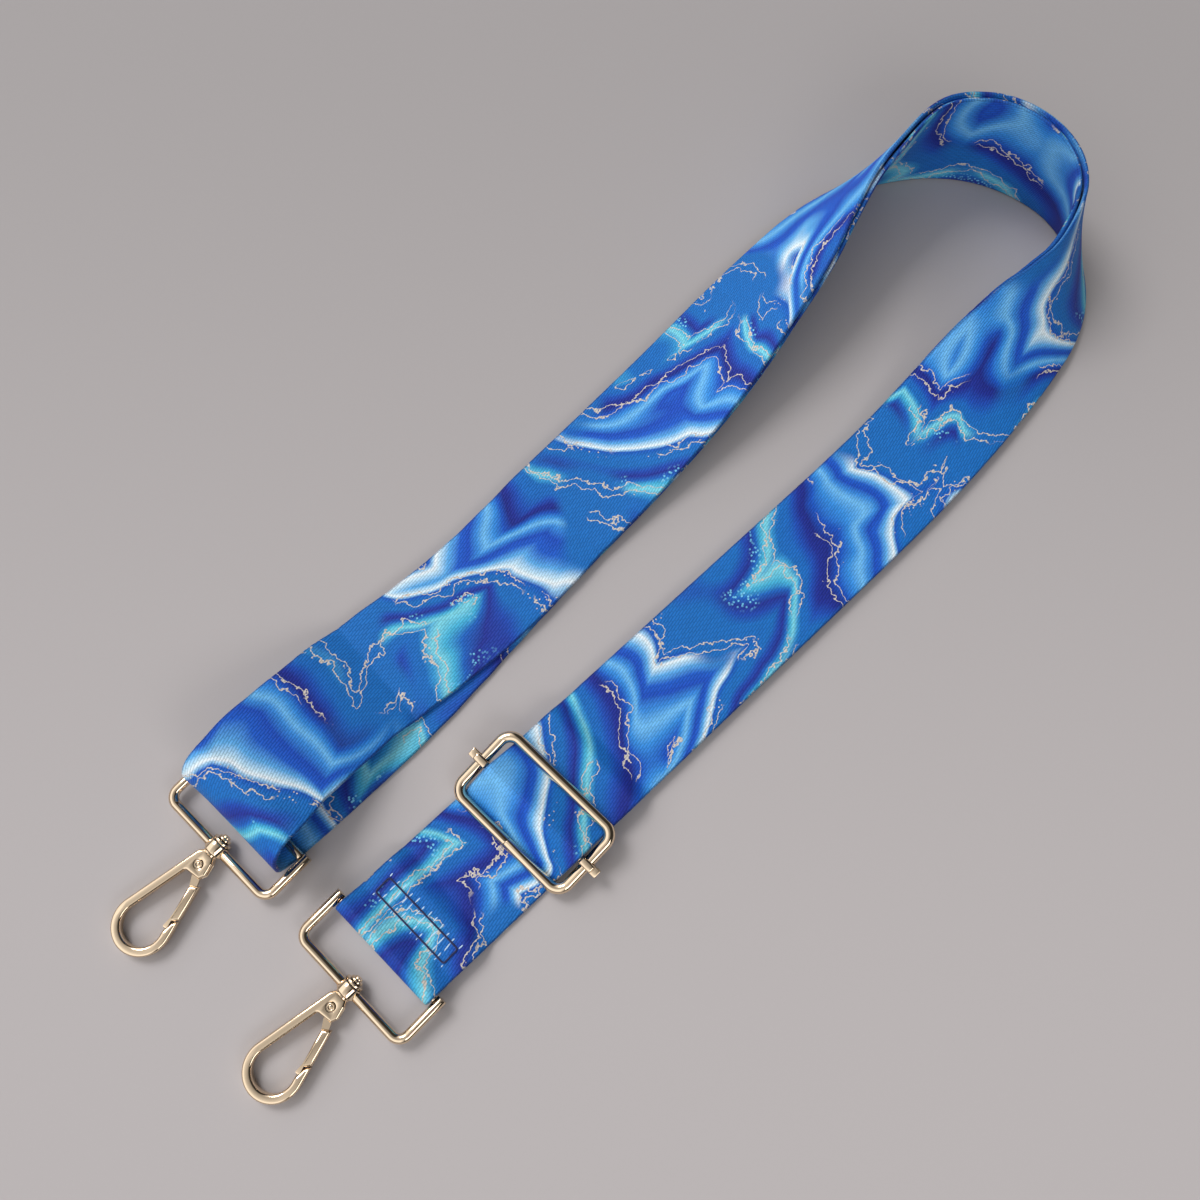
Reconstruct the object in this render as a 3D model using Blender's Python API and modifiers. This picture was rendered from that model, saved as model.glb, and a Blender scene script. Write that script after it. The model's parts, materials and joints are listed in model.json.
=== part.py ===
import math

import bmesh
import bpy
from mathutils import Matrix, Vector

# A detachable bag strap, laid out on a table. X runs from the hooks to the bend, Y across the two
# branches and Z up from the table. Hook 1 holds the loose loop, hook 2 the sewn end. Lengths are in metres.

# Webbing
webbing_width = 0.0375
webbing_thickness = 0.0013
layer_gap = 0.0003
standing_layer_gap = 0.0011
end_gap = 0.0003
soft_radius = 0.0045

# Layout, measured from the middle of the strap
bend_reach = 0.2077
half_span = 0.053
hook_1_bar_back = 0.1166
hook_2_bar_back = 0.1139
single_run_length = 0.0068
ring_gap = 0.0110
hook_1_yaw = math.radians(3)
hook_2_yaw = math.radians(2.5)
slider_yaw = math.radians(3.2)
slider_offset = 0.0001
yaw_fade = 0.007

# Outer edge of the doubled strap on the table, from the right branch round the bend to the left branch:
# shares of the reach and of the half span, and the roll as a share of a quarter turn
bend_edge_shares = [
    (0.385, -0.998, 0.00),
    (0.505, -0.987, 0.01),
    (0.626, -0.951, 0.07),
    (0.713, -0.906, 0.17),
    (0.780, -0.855, 0.30),
    (0.847, -0.785, 0.44),
    (0.905, -0.672, 0.56),
    (0.953, -0.500, 0.67),
    (0.987, -0.292, 0.78),
    (1.000, -0.075, 0.87),
    (0.992, 0.151, 0.96),
    (0.970, 0.358, 1.02),
    (0.936, 0.543, 1.04),
    (0.886, 0.713, 1.00),
    (0.818, 0.864, 0.84),
    (0.741, 0.962, 0.70),
    (0.664, 1.004, 0.57),
    (0.578, 1.008, 0.44),
    (0.491, 0.998, 0.34),
    (0.409, 0.981, 0.24),
    (0.327, 0.960, 0.16),
    (0.241, 0.942, 0.09),
    (0.144, 0.923, 0.03),
    (0.048, 0.904, 0.00),
]

# Loose loop round the bar of hook 1: how far each layer lies to the side of the ring, as shares of the
# side shift, at even steps along the layer from the bend towards the bar
loop_rise_back = 0.052
loop_crest_radius = 0.0086
loop_front_radius = 0.0055
loop_crest_ahead = 0.0028
loop_front_back = 0.0010
loop_height = 0.0200
loop_under_length = 0.0150
loop_square_reach = 0.0073
top_side_shares = [1.0, 0.83, 0.70, 0.67, 0.74, 0.88, 0.95, 0.81, 0.66, 0.31, 0.0, 0.0, 0.0]
under_side_shares = [1.0, 0.86, 0.70, 0.52, 0.33, 0.16, 0.06, 0.02, 0.0]

# Sewn ends
hook_tail_length = 0.0160
slider_tail_length = 0.0225
ramp_length = 0.0070
stitch_from_bar = 0.0082
stitch_length = 0.0055
stitch_width = 0.0280
thread_radius = 0.0002
thread_clearance = 0.00005

# Ring and barrel of a hook
ring_wire_radius = 0.0015
ring_side_clearance = 0.0004
ring_depth = 0.0149
ring_corner_radius = 0.0033
ring_leg_overshoot = 0.0015
ring_bar_radius = 0.00125
ring_bar_end_clearance = 0.00005
bar_lift = 0.0005
barrel_radius = 0.0032
barrel_length = 0.0034
barrel_bevel = 0.0003
bore_radius = 0.0015

# Swivel post, flange, washer and peened head
post_radius = 0.0014
swivel_gap = 0.0002
flange_radius = 0.0024
flange_thickness = 0.0007
flange_edge_share = 0.25
washer_radius = 0.0030
washer_bore_radius = 0.0016
washer_thickness = 0.0008
head_radius = 0.0020
head_length = 0.0014
head_dome = 0.0007
peened_top_share = 0.6

# Hook body, measured from the middle of the barrel, with the gate on the right
hook_thickness = 0.0035
hook_chamfer = 0.0005
neck_start = 0.0022
neck_half_width = 0.0019
shoulder = 0.0016
shoulder_left = 0.0032
shoulder_right = 0.0029
bow_from_barrel = 0.0285
bow_side = 0.0010
bow_radius = 0.0087
arm_width = 0.0027
nose_outer_length = 0.0056
nose_inner_length = 0.0018
nose_slant = 0.0012
nose_step_share = 0.60
nose_tip_share = 0.85
rivet_from_barrel = 0.0063
cheek_reach = 0.0073
cheek_end = 0.0092
cheek_end_side = 0.0031
crotch_end = 0.0099
slot_start = 0.0041
slot_height = 0.0018
slot_wall_side = 0.0019

# Gate, rivet and spring
gate_gap = 0.0003
gate_start = 0.0070
gate_start_slant = 0.0009
tongue_thickness = 0.0011
tongue_clearance = 0.0001
tongue_eye_radius = 0.0016
tongue_width = 0.0019
tongue_inset = 0.0002
rivet_radius = 0.0008
rivet_clearance = 0.00005
rivet_head_radius = 0.00115
rivet_head_height = 0.0003
recess_radius = 0.00155
recess_depth = 0.0003
spring_wire_radius = 0.0002
spring_hole_radius = 0.0003
spring_hole_from_rivet = 0.0026
spring_leg_length = 0.0034

# Slider
slider_wire_radius = 0.0017
slider_side_clearance = 0.0009
slider_pitch = 0.0236
slider_corner_radius = 0.0040
slider_seam_gap = 0.0001
slider_bar_radius = 0.00125
eye_length = 0.0025
eye_wall = 0.0005
eye_clearance = 0.00015
eye_bevel = 0.0003
nub_length = 0.0028
nub_height = 0.0020
nub_reach = 0.0022

# Facets and cuts
overrun = 0.0010
weld_distance = 0.000001
arc_step = math.radians(20)
lathe_steps = 24
bend_steps = 2

# Places that follow from the sizes above
layer_pitch = webbing_thickness + layer_gap
low_layer = webbing_thickness / 2
high_layer = low_layer + layer_pitch
stitch_room = 2 * (thread_radius + thread_clearance)
sewn_low_layer = low_layer + stitch_room
sewn_high_layer = sewn_low_layer + layer_pitch
covered_layer = sewn_high_layer + layer_pitch + stitch_room
bar_wrap = layer_gap + webbing_thickness / 2
fold_low_layer = sewn_low_layer + bar_lift
fold_high_layer = fold_low_layer + layer_pitch
bar_height = fold_low_layer + bar_wrap + ring_bar_radius
ring_half_width = webbing_width / 2 + ring_side_clearance + ring_wire_radius
hook_reach = ring_depth + bow_from_barrel + bow_radius
hook_pitch = math.asin((bar_height - hook_thickness / 2) / hook_reach)
right_branch_y = -half_span * -bend_edge_shares[0][1] + webbing_width / 2
left_branch_y = half_span * bend_edge_shares[-1][1] - webbing_width / 2
ring_1_y = right_branch_y + 2 * (ring_half_width + ring_wire_radius) + ring_gap
bend_start_x = bend_reach * bend_edge_shares[0][0]
bend_end_x = bend_reach * bend_edge_shares[-1][0]
wire_wrap = slider_wire_radius + layer_gap + webbing_thickness / 2
near_wire_height = low_layer + wire_wrap
far_wire_height = covered_layer + wire_wrap
tongue_drop = (slot_height - tongue_thickness) / 2 - tongue_clearance
slider_tilt = math.asin((far_wire_height - near_wire_height) / slider_pitch)
slider_height = (near_wire_height + far_wire_height) / 2
slider_half_width = webbing_width / 2 + slider_side_clearance + slider_wire_radius
wire_reach = slider_pitch / 2 * math.cos(slider_tilt)
hump_reach = wire_reach + wire_wrap + yaw_fade
hook_sewn_reach = hook_tail_length + ramp_length + soft_radius
slider_sewn_reach = slider_tail_length + ramp_length + soft_radius
slider_back = hook_2_bar_back - hook_sewn_reach - single_run_length - hump_reach
slider_fitting = (-slider_back, slider_yaw, wire_reach + wire_wrap)


def clear_scene():
    for obj in list(bpy.data.objects):
        bpy.data.objects.remove(obj, do_unlink=True)


def make_material(name, color, roughness, metallic):
    material = bpy.data.materials.new(name)
    material.use_nodes = True
    shader = material.node_tree.nodes["Principled BSDF"]
    shader.inputs["Base Color"].default_value = (*color, 1.0)
    shader.inputs["Roughness"].default_value = roughness
    shader.inputs["Metallic"].default_value = metallic
    return material


def make_collection(name):
    collection = bpy.data.collections.new(name)
    bpy.context.scene.collection.children.link(collection)
    return collection


def make_empty(name, parent, location=(0, 0, 0), rotation=(0, 0, 0)):
    empty = bpy.data.objects.new(name, None)
    parts.objects.link(empty)
    empty.parent = parent
    empty.location = location
    empty.rotation_euler = rotation
    return empty


def add_node(name, data, material, parent):
    obj = bpy.data.objects.new(name, data)
    parts.objects.link(obj)
    obj.parent = parent
    data.materials.append(material)
    return obj


def as_helper(obj):
    parts.objects.unlink(obj)
    helpers.objects.link(obj)
    obj.hide_render = True
    obj.display_type = "WIRE"
    return obj


def add_boolean(obj, other, operation):
    modifier = obj.modifiers.new(operation.lower(), "BOOLEAN")
    modifier.operation = operation
    modifier.object = as_helper(other)


def add_bevel(obj, width, segments=1):
    modifier = obj.modifiers.new("edges", "BEVEL")
    modifier.width = width
    modifier.segments = segments
    modifier.limit_method = "ANGLE"
    modifier.angle_limit = math.radians(40)


# A curve takes no Boolean, so its evaluated mesh replaces it, with the caps welded on
def curve_to_mesh(obj):
    graph = bpy.context.evaluated_depsgraph_get()
    mesh = bpy.data.meshes.new_from_object(obj.evaluated_get(graph))
    shape = bmesh.new()
    shape.from_mesh(mesh)
    bmesh.ops.remove_doubles(shape, verts=shape.verts, dist=weld_distance)
    bmesh.ops.recalc_face_normals(shape, faces=shape.faces)
    shape.to_mesh(mesh)
    shape.free()
    name, parent, matrix = obj.name, obj.parent, obj.matrix_basis.copy()
    bpy.data.objects.remove(obj, do_unlink=True)
    solid = bpy.data.objects.new(name, mesh)
    parts.objects.link(solid)
    solid.parent = parent
    solid.matrix_basis = matrix
    return solid


# A round wire along the given points
def add_wire(name, points, radius, material, parent, closed=False, sides=2):
    curve = bpy.data.curves.new(name, "CURVE")
    curve.dimensions = "3D"
    curve.bevel_depth = radius
    curve.bevel_resolution = sides
    curve.use_fill_caps = True
    spline = curve.splines.new("POLY")
    spline.points.add(len(points) - 1)
    for place, point in zip(spline.points, points):
        place.co = (*point, 1.0)
    spline.use_cyclic_u = closed
    return add_node(name, curve, material, parent)


# A flat plate with the given outline and chamfered edges, centred on its own plane
def add_plate(name, outline, thickness, material, parent, chamfer=0):
    curve = bpy.data.curves.new(name, "CURVE")
    curve.dimensions = "2D"
    curve.fill_mode = "BOTH"
    curve.extrude = thickness / 2 - chamfer
    curve.bevel_depth = chamfer
    curve.bevel_resolution = 0
    curve.offset = -chamfer
    spline = curve.splines.new("POLY")
    spline.points.add(len(outline) - 1)
    for place, (x, y) in zip(spline.points, outline):
        place.co = (x, y, 0.0, 1.0)
    spline.use_cyclic_u = True
    return curve_to_mesh(add_node(name, curve, material, parent))


def add_box(name, size, center, material, parent):
    mesh = bpy.data.meshes.new(name)
    shape = bmesh.new()
    bmesh.ops.create_cube(shape, size=1.0)
    bmesh.ops.scale(shape, vec=size, verts=shape.verts)
    bmesh.ops.translate(shape, vec=center, verts=shape.verts)
    shape.to_mesh(mesh)
    shape.free()
    return add_node(name, mesh, material, parent)


# A round bar of the given length whose axis is turned by the rotation
def add_cylinder(name, radius, length, material, parent, location=(0, 0, 0), rotation=(0, 0, 0)):
    mesh = bpy.data.meshes.new(name)
    shape = bmesh.new()
    bmesh.ops.create_cone(
        shape, cap_ends=True, segments=lathe_steps, radius1=radius, radius2=radius, depth=length
    )
    shape.to_mesh(mesh)
    shape.free()
    obj = add_node(name, mesh, material, parent)
    obj.location = location
    obj.rotation_euler = rotation
    return obj


# A turned piece: the profile runs from its top to its bottom as (radius, height) and turns about local Z
def add_turned(name, profile, material, parent, location=(0, 0, 0), rotation=(0, 0, 0)):
    mesh = bpy.data.meshes.new(name)
    edges = [(index, index + 1) for index in range(len(profile) - 1)]
    mesh.from_pydata([(radius, 0, height) for radius, height in profile], edges, [])
    obj = add_node(name, mesh, material, parent)
    obj.location = location
    obj.rotation_euler = rotation
    screw = obj.modifiers.new("turn", "SCREW")
    screw.steps = lathe_steps
    screw.render_steps = lathe_steps
    screw.use_merge_vertices = True
    screw.merge_threshold = weld_distance
    return obj


# A ring-shaped turned piece, with a bore
def add_washer(name, outer, bore, thickness, material, parent, location, rotation):
    half = thickness / 2
    profile = [(bore, half), (outer, half), (outer, -half), (bore, -half), (bore, half)]
    return add_turned(name, profile, material, parent, location, rotation)


# Points of an arc round the center, from one angle to another
def arc_points(center, radius, start, end):
    count = max(2, math.ceil(abs(end - start) / arc_step) + 1)
    angles = [start + (end - start) * index / (count - 1) for index in range(count)]
    return [
        (center[0] + radius * math.cos(angle), center[1] + radius * math.sin(angle)) for angle in angles
    ]


# Direction of the straight stretch between two turns, each given as (x, y, radius, side), where the side
# is 1 for a turn that keeps its center on the left and -1 on the right
def heading_between(first, second):
    across, along = second[1] - first[1], second[0] - first[0]
    lean = (second[3] * second[2] - first[3] * first[2]) / math.hypot(along, across)
    return math.atan2(across, along) - math.asin(lean)


# Path that runs straight between turns and round each of them, like a belt
def belt_points(turns):
    headings = [heading_between(first, second) for first, second in zip(turns, turns[1:])]
    points = [(turns[0][0], turns[0][1])]
    for turn, arriving, leaving in zip(turns[1:-1], headings, headings[1:]):
        x, y, radius, side = turn
        swing = (leaving - arriving) * side % (2 * math.pi) * side
        start = arriving - side * math.pi / 2
        points += arc_points((x, y), radius, start, start + swing)
    return points + [(turns[-1][0], turns[-1][1])]


# A soft corner of a path that is level there: above is 1 where the webbing curves up out of it, else -1
def soft_corner(x, height, above, going=1):
    return (x, height + above * soft_radius, soft_radius, above * going)


def end_point(x, height):
    return (x, height, 0.0, 1)


# Smooth rows through the given rows, with more steps between them
def smooth_rows(rows, steps):
    rows = [Vector(row) for row in rows]
    padded = [rows[0] * 2 - rows[1], *rows, rows[-1] * 2 - rows[-2]]
    smooth = []
    for before, start, end, after in zip(padded, padded[1:], padded[2:], padded[3:]):
        for step in range(steps):
            share = step / steps
            pull_start, pull_end = (end - before) / 2, (after - start) / 2
            smooth.append(
                start * (2 * share**3 - 3 * share**2 + 1)
                + pull_start * (share**3 - 2 * share**2 + share)
                + end * (3 * share**2 - 2 * share**3)
                + pull_end * (share**3 - share**2)
            )
    return smooth + [rows[-1]]


# Value of an evenly spaced table of shares at a share of its length
def share_at(shares, place):
    place = min(max(place, 0.0), 1.0) * (len(shares) - 1)
    index = min(int(place), len(shares) - 2)
    step = place - index
    eased = (step * step * (3 - 2 * step) + step) / 2
    return shares[index] + (shares[index + 1] - shares[index]) * eased


def path_lengths(points):
    lengths = [0.0]
    for first, second in zip(points, points[1:]):
        lengths.append(lengths[-1] + math.dist(first, second))
    return lengths


# Cuts long straight stretches, so that the webbing can drift sideways along them
def divided(points, longest):
    result = [points[0]]
    for first, second in zip(points, points[1:]):
        count = max(1, math.ceil(math.dist(first, second) / longest))
        for index in range(1, count + 1):
            share = index / count
            result.append(tuple(a + (b - a) * share for a, b in zip(first, second)))
    return result


# Turn of the webbing's crosswise direction at a place along X: full near a fitting that lies askew on it
def yaw_at(x, fitting_x, yaw, reach):
    share = min(max((reach + yaw_fade - abs(x - fitting_x)) / yaw_fade, 0.0), 1.0)
    return yaw * share * share * (3 - 2 * share)


# Webbing stations along a path in the XZ plane: a center and the direction across the webbing. The fitting
# is a place along X, its yaw and how far to each side of it the webbing keeps that yaw
def path_stations(points, side_at, fitting=(0, 0, 0)):
    lengths = path_lengths(points)
    centers = [
        Vector((x, side_at(length / lengths[-1]), z)) for (x, z), length in zip(points, lengths)
    ]
    stations = []
    last = len(centers) - 1
    for index, center in enumerate(centers):
        along = centers[min(index + 1, last)] - centers[max(index - 1, 0)]
        if index in (0, last):
            along.y = 0
        along.normalize()
        yaw = yaw_at(center.x, *fitting)
        across = Vector((-math.sin(yaw), math.cos(yaw), 0)) - along * along.y
        stations.append((center, across.normalized()))
    return stations


# Stations of one of the two layers round the bend. Layer 0 lies under layer 1, and inside it where they stand
def bend_stations(layer):
    rows = smooth_rows(bend_edge_shares, bend_steps)
    edge = [Vector((row.x * bend_reach, row.y * half_span, 0)) for row in rows]
    headings = [(after - before).normalized() for before, after in zip(edge, edge[2:])]
    headings = [Vector((1, 0, 0)), *headings, Vector((-1, 0, 0))]
    stations = []
    for point, row, along in zip(edge, rows, headings):
        inward = Vector((-along.y, along.x, 0))
        roll = row.z * math.pi / 2
        across = inward * math.cos(roll) + Vector((0, 0, math.sin(roll)))
        outward = Vector((0, 0, math.cos(roll))) - inward * math.sin(roll)
        gap = layer_gap + (standing_layer_gap - layer_gap) * math.sin(roll) ** 2
        depth = webbing_thickness / 2 + layer * (webbing_thickness + gap)
        stations.append((point + across * webbing_width / 2 + outward * depth, across))
    return stations


# Each piece of webbing stops short of its neighbour by half the end gap
def drawn_in(stations):
    (first, first_across), (last, last_across) = stations[0], stations[-1]
    first = first + (stations[1][0] - first).normalized() * end_gap / 2
    last = last + (stations[-2][0] - last).normalized() * end_gap / 2
    return [(first, first_across), *stations[1:-1], (last, last_across)]


def add_webbing(name, stations, parent):
    corners = []
    for center, across in drawn_in(stations):
        corners += [center - across * webbing_width / 2, center + across * webbing_width / 2]
    faces = [
        (2 * index, 2 * index + 1, 2 * index + 3, 2 * index + 2) for index in range(len(stations) - 1)
    ]
    mesh = bpy.data.meshes.new(name)
    mesh.from_pydata(corners, [], faces)
    obj = add_node(name, mesh, webbing_material, parent)
    solidify = obj.modifiers.new("thickness", "SOLIDIFY")
    solidify.thickness = webbing_thickness
    solidify.offset = 0
    solidify.use_even_offset = True
    return obj


# Webbing sewn back on itself round the ring bar of hook 2, and the run down to the table after it
def make_hook_2_fold(strap):
    bar_x = -hook_2_bar_back
    turns = [
        end_point(bar_x + hook_tail_length, fold_low_layer),
        (bar_x, bar_height, ring_bar_radius + bar_wrap, -1),
        soft_corner(bar_x + stitch_from_bar - 2 * thread_radius, fold_high_layer, 1),
        soft_corner(bar_x + hook_tail_length, fold_high_layer, -1),
        soft_corner(bar_x + hook_tail_length + ramp_length, low_layer, 1),
        end_point(bar_x + hook_sewn_reach, low_layer),
    ]
    points = divided(belt_points(turns), yaw_fade / 4)
    fitting = (bar_x, hook_2_yaw, stitch_from_bar)
    add_webbing("webbing_hook_2_fold", path_stations(points, lambda place: right_branch_y, fitting), strap)


def make_single_run(strap):
    start_x = -hook_2_bar_back + hook_sewn_reach
    points = [(start_x, low_layer), (start_x + single_run_length, low_layer)]
    add_webbing("webbing_single_run", path_stations(points, lambda place: right_branch_y), strap)


# The run under the slider's near side, over its bar and the sewn end, and under its far side
def make_over_bar(parent):
    over_radius = slider_bar_radius + 2 * layer_gap + 1.5 * webbing_thickness
    turns = [
        end_point(-slider_back - hump_reach, low_layer),
        (-slider_back - wire_reach, near_wire_height, wire_wrap, 1),
        (-slider_back, slider_height, over_radius, -1),
        (-slider_back + wire_reach, far_wire_height, wire_wrap, 1),
        end_point(-slider_back + hump_reach, covered_layer),
    ]
    points = divided(belt_points(turns), yaw_fade / 4)
    stations = path_stations(points, lambda place: right_branch_y, slider_fitting)
    add_webbing("webbing_over_bar", stations, parent)


# The other end of the webbing, sewn round the slider's bar under the run that passes over it
def make_sewn_end(parent):
    bar_x = -slider_back
    turns = [
        end_point(bar_x + slider_sewn_reach, low_layer),
        soft_corner(bar_x + slider_tail_length + ramp_length, low_layer, 1, -1),
        soft_corner(bar_x + slider_tail_length, sewn_low_layer, -1, -1),
        soft_corner(bar_x + stitch_from_bar - 2 * thread_radius, sewn_low_layer, 1, -1),
        (bar_x, slider_height, slider_bar_radius + bar_wrap, -1),
        soft_corner(bar_x + stitch_from_bar - 2 * thread_radius, sewn_high_layer, 1),
        end_point(bar_x + slider_tail_length, sewn_high_layer),
    ]
    points = divided(belt_points(turns), yaw_fade / 4)
    stations = path_stations(points, lambda place: right_branch_y, slider_fitting)
    add_webbing("webbing_sewn_end", stations, parent)


def make_right_branch(strap):
    top = [
        end_point(-slider_back + hump_reach, covered_layer),
        soft_corner(-slider_back + slider_tail_length, covered_layer, -1),
        soft_corner(-slider_back + slider_tail_length + ramp_length, high_layer, 1),
        end_point(bend_start_x, high_layer),
    ]
    under = [(-slider_back + slider_sewn_reach, low_layer), (bend_start_x, low_layer)]
    add_webbing("webbing_top_right", path_stations(belt_points(top), lambda place: right_branch_y), strap)
    add_webbing("webbing_under_right", path_stations(under, lambda place: right_branch_y), strap)


def make_bend(strap):
    add_webbing("webbing_bend_outer", bend_stations(1), strap)
    add_webbing("webbing_bend_inner", bend_stations(0), strap)


# The top layer of the left branch, which rises over the ring bar of hook 1 and comes back under it
def make_left_branch(strap):
    bar_x = -hook_1_bar_back
    shift = left_branch_y - ring_1_y
    crest_height = loop_height - webbing_thickness / 2 - loop_crest_radius
    turns = [
        end_point(bend_end_x, high_layer),
        soft_corner(bar_x + loop_rise_back, high_layer, 1, -1),
        (bar_x + loop_crest_ahead, crest_height, loop_crest_radius, 1),
        (bar_x - loop_front_back, fold_low_layer + loop_front_radius, loop_front_radius, 1),
        soft_corner(bar_x + loop_under_length - soft_radius, low_layer, 1),
        end_point(bar_x + loop_under_length, low_layer),
    ]
    points = divided(belt_points(turns), yaw_fade)
    fitting = (bar_x, hook_1_yaw, loop_square_reach)

    def side_at(place):
        return ring_1_y + shift * share_at(top_side_shares, place)

    stations = path_stations(points, side_at, fitting)
    parting = next(i for i, (center, _) in enumerate(stations) if center.x < bar_x + loop_rise_back)
    add_webbing("webbing_top_left", stations[: parting + 1], strap)
    add_webbing("webbing_hook_1_loop", stations[parting:], strap)
    points = divided([(bend_end_x, low_layer), (bar_x + loop_under_length, low_layer)], webbing_width / 4)
    stations = path_stations(points, lambda place: ring_1_y + shift * share_at(under_side_shares, place))
    add_webbing("webbing_under_left", stations, strap)


# Box stitch: the needle thread on the upper layer and the bobbin thread under the lower one
def make_stitches(prefix, bar_x, yaw, lift, parent):
    surfaces = {
        "top": sewn_high_layer + webbing_thickness / 2 + stitch_room / 2,
        "bottom": sewn_low_layer - webbing_thickness / 2 - stitch_room / 2,
    }
    near, far, side = stitch_from_bar, stitch_from_bar + stitch_length, stitch_width / 2
    turn = Matrix.Rotation(yaw, 3, "Z")
    for name, height in surfaces.items():
        corners = [(near, -side, 0), (far, -side, 0), (far, side, 0), (near, side, 0)]
        center = Vector((bar_x, right_branch_y, height + lift))
        points = [turn @ Vector(corner) + center for corner in corners]
        add_wire(f"{prefix}_stitch_{name}", points, thread_radius, thread_material, parent, True, 1)


# Points of the U-shaped ring wire, from the end of one leg round the front to the end of the other
def ring_points():
    side, corner = ring_half_width, ring_corner_radius
    front = ring_depth - corner
    quarter = math.pi / 2
    half = [(-ring_leg_overshoot, side)] + arc_points((front, side - corner), corner, quarter, 0)
    return half + [(x, -y) for x, y in reversed(half)]


def make_ring(prefix, pivot):
    points = [(x, y, 0) for x, y in ring_points()]
    wire = add_wire(f"{prefix}_ring", points, ring_wire_radius, metal_material, pivot, sides=3)
    ring = curve_to_mesh(wire)
    along = (0, math.pi / 2, 0)
    place = (ring_depth, 0, 0)
    barrel = add_cylinder(f"{prefix}_barrel", barrel_radius, barrel_length, metal_material, pivot, place, along)
    add_bevel(barrel, barrel_bevel)
    add_boolean(ring, barrel, "UNION")
    bore_length = barrel_length + 2 * overrun
    bore = add_cylinder(f"{prefix}_bore", bore_radius, bore_length, metal_material, pivot, place, along)
    add_boolean(ring, bore, "DIFFERENCE")
    bar_length = 2 * (ring_half_width - ring_wire_radius - ring_bar_end_clearance)
    add_cylinder(
        f"{prefix}_ring_bar", ring_bar_radius, bar_length, metal_material, pivot, rotation=(math.pi / 2, 0, 0)
    )


# Line along one outer side of the hook: its start at the neck, its heading and where it meets the bow
def hook_side(side, start_y):
    bow = (bow_from_barrel, bow_side, bow_radius, -side)
    start_x = neck_start + shoulder
    heading = heading_between((start_x, start_y, 0.0, 1), bow)
    outward = Vector((-math.sin(heading), math.cos(heading))) * side
    start = Vector((start_x, start_y))
    meeting = Vector((bow_from_barrel, bow_side)) + outward * bow_radius
    return start, Vector((math.cos(heading), math.sin(heading))), outward, meeting


# The parting between nose and gate, as (distance back from the bow, depth from the outer side)
def parting():
    return [
        (nose_outer_length, 0),
        (nose_outer_length - nose_slant, arm_width * nose_step_share),
        (nose_inner_length, arm_width * nose_tip_share),
        (nose_inner_length, arm_width),
    ]


# Outline of the hook from the neck down the gate side, round the crotch, the bow's inside, the nose and back
def hook_outline():
    start, along, outward, meeting = hook_side(1, shoulder_right)
    left_start, left_along, left_outward, _ = hook_side(-1, -shoulder_left)
    center = (bow_from_barrel, bow_side)
    out_angle = math.atan2(outward.y, outward.x)
    left_angle = math.atan2(left_outward.y, left_outward.x)
    cheek = start + along * ((cheek_reach - start.x) / along.x)
    left_inner = left_start - left_outward * arm_width
    crotch = left_inner + left_along * ((crotch_end - left_inner.x) / left_along.x)
    nose = [tuple(meeting - outward * depth - along * back) for back, depth in reversed(parting())]
    return [
        (neck_start, neck_half_width),
        tuple(start),
        tuple(cheek),
        (cheek_end, cheek_end_side),
        tuple(crotch),
        *arc_points(center, bow_radius - arm_width, left_angle, out_angle),
        *nose,
        *arc_points(center, bow_radius, out_angle, left_angle),
        tuple(left_start),
        (neck_start, -neck_half_width),
    ]


# Turned neck of the hook: flange, post and the head peened over the washer, about the swivel axis
def neck_profile():
    flange_end = barrel_length / 2 + swivel_gap
    head_start = -(barrel_length / 2 + 2 * swivel_gap + washer_thickness)
    return [
        (0, flange_end + flange_thickness + overrun / 2),
        (post_radius, flange_end + flange_thickness + overrun / 2),
        (flange_radius - flange_thickness * flange_edge_share, flange_end + flange_thickness),
        (flange_radius, flange_end + flange_thickness * (1 - flange_edge_share)),
        (flange_radius, flange_end),
        (post_radius, flange_end),
        (post_radius, head_start),
        (head_radius, head_start),
        (head_radius, head_start - head_dome),
        (head_radius * peened_top_share, head_start - head_length),
        (0, head_start - head_length),
    ]


def make_hook_body(prefix, swivel):
    outline = hook_outline()
    body = add_plate(f"{prefix}_body", outline, hook_thickness, metal_material, swivel, hook_chamfer)
    neck = add_turned(
        f"{prefix}_neck", neck_profile(), metal_material, swivel, rotation=(0, math.pi / 2, 0)
    )
    add_boolean(body, neck, "UNION")
    slot = add_plate(f"{prefix}_slot", slot_outline(), slot_height, metal_material, swivel)
    add_boolean(body, slot, "DIFFERENCE")
    hole_radius = rivet_radius + rivet_clearance
    place = (rivet_from_barrel, 0, 0)
    hole = add_cylinder(
        f"{prefix}_rivet_hole", hole_radius, hook_thickness + 2 * overrun, metal_material, swivel, place
    )
    add_boolean(body, hole, "DIFFERENCE")
    for name, side in (("upper", 1), ("lower", -1)):
        height = side * (hook_thickness / 2 - recess_depth + overrun / 2)
        recess = add_cylinder(
            f"{prefix}_{name}_recess",
            recess_radius,
            overrun,
            metal_material,
            swivel,
            (rivet_from_barrel, 0, height),
        )
        add_boolean(body, recess, "DIFFERENCE")
    washer_place = -(barrel_length / 2 + swivel_gap + washer_thickness / 2)
    add_washer(
        f"{prefix}_washer",
        washer_radius,
        washer_bore_radius,
        washer_thickness,
        metal_material,
        swivel,
        (washer_place, 0, 0),
        (0, math.pi / 2, 0),
    )


# Room in the head of the hook for the gate's tongue: open at the crotch and on the gate's side
def slot_outline():
    open_end, open_side = crotch_end + arm_width, arm_width + 2 * overrun
    return [
        (slot_start, -slot_wall_side),
        (crotch_end, -slot_wall_side),
        (open_end, -slot_wall_side + arm_width),
        (open_end, open_side),
        (slot_start, open_side),
    ]


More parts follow.
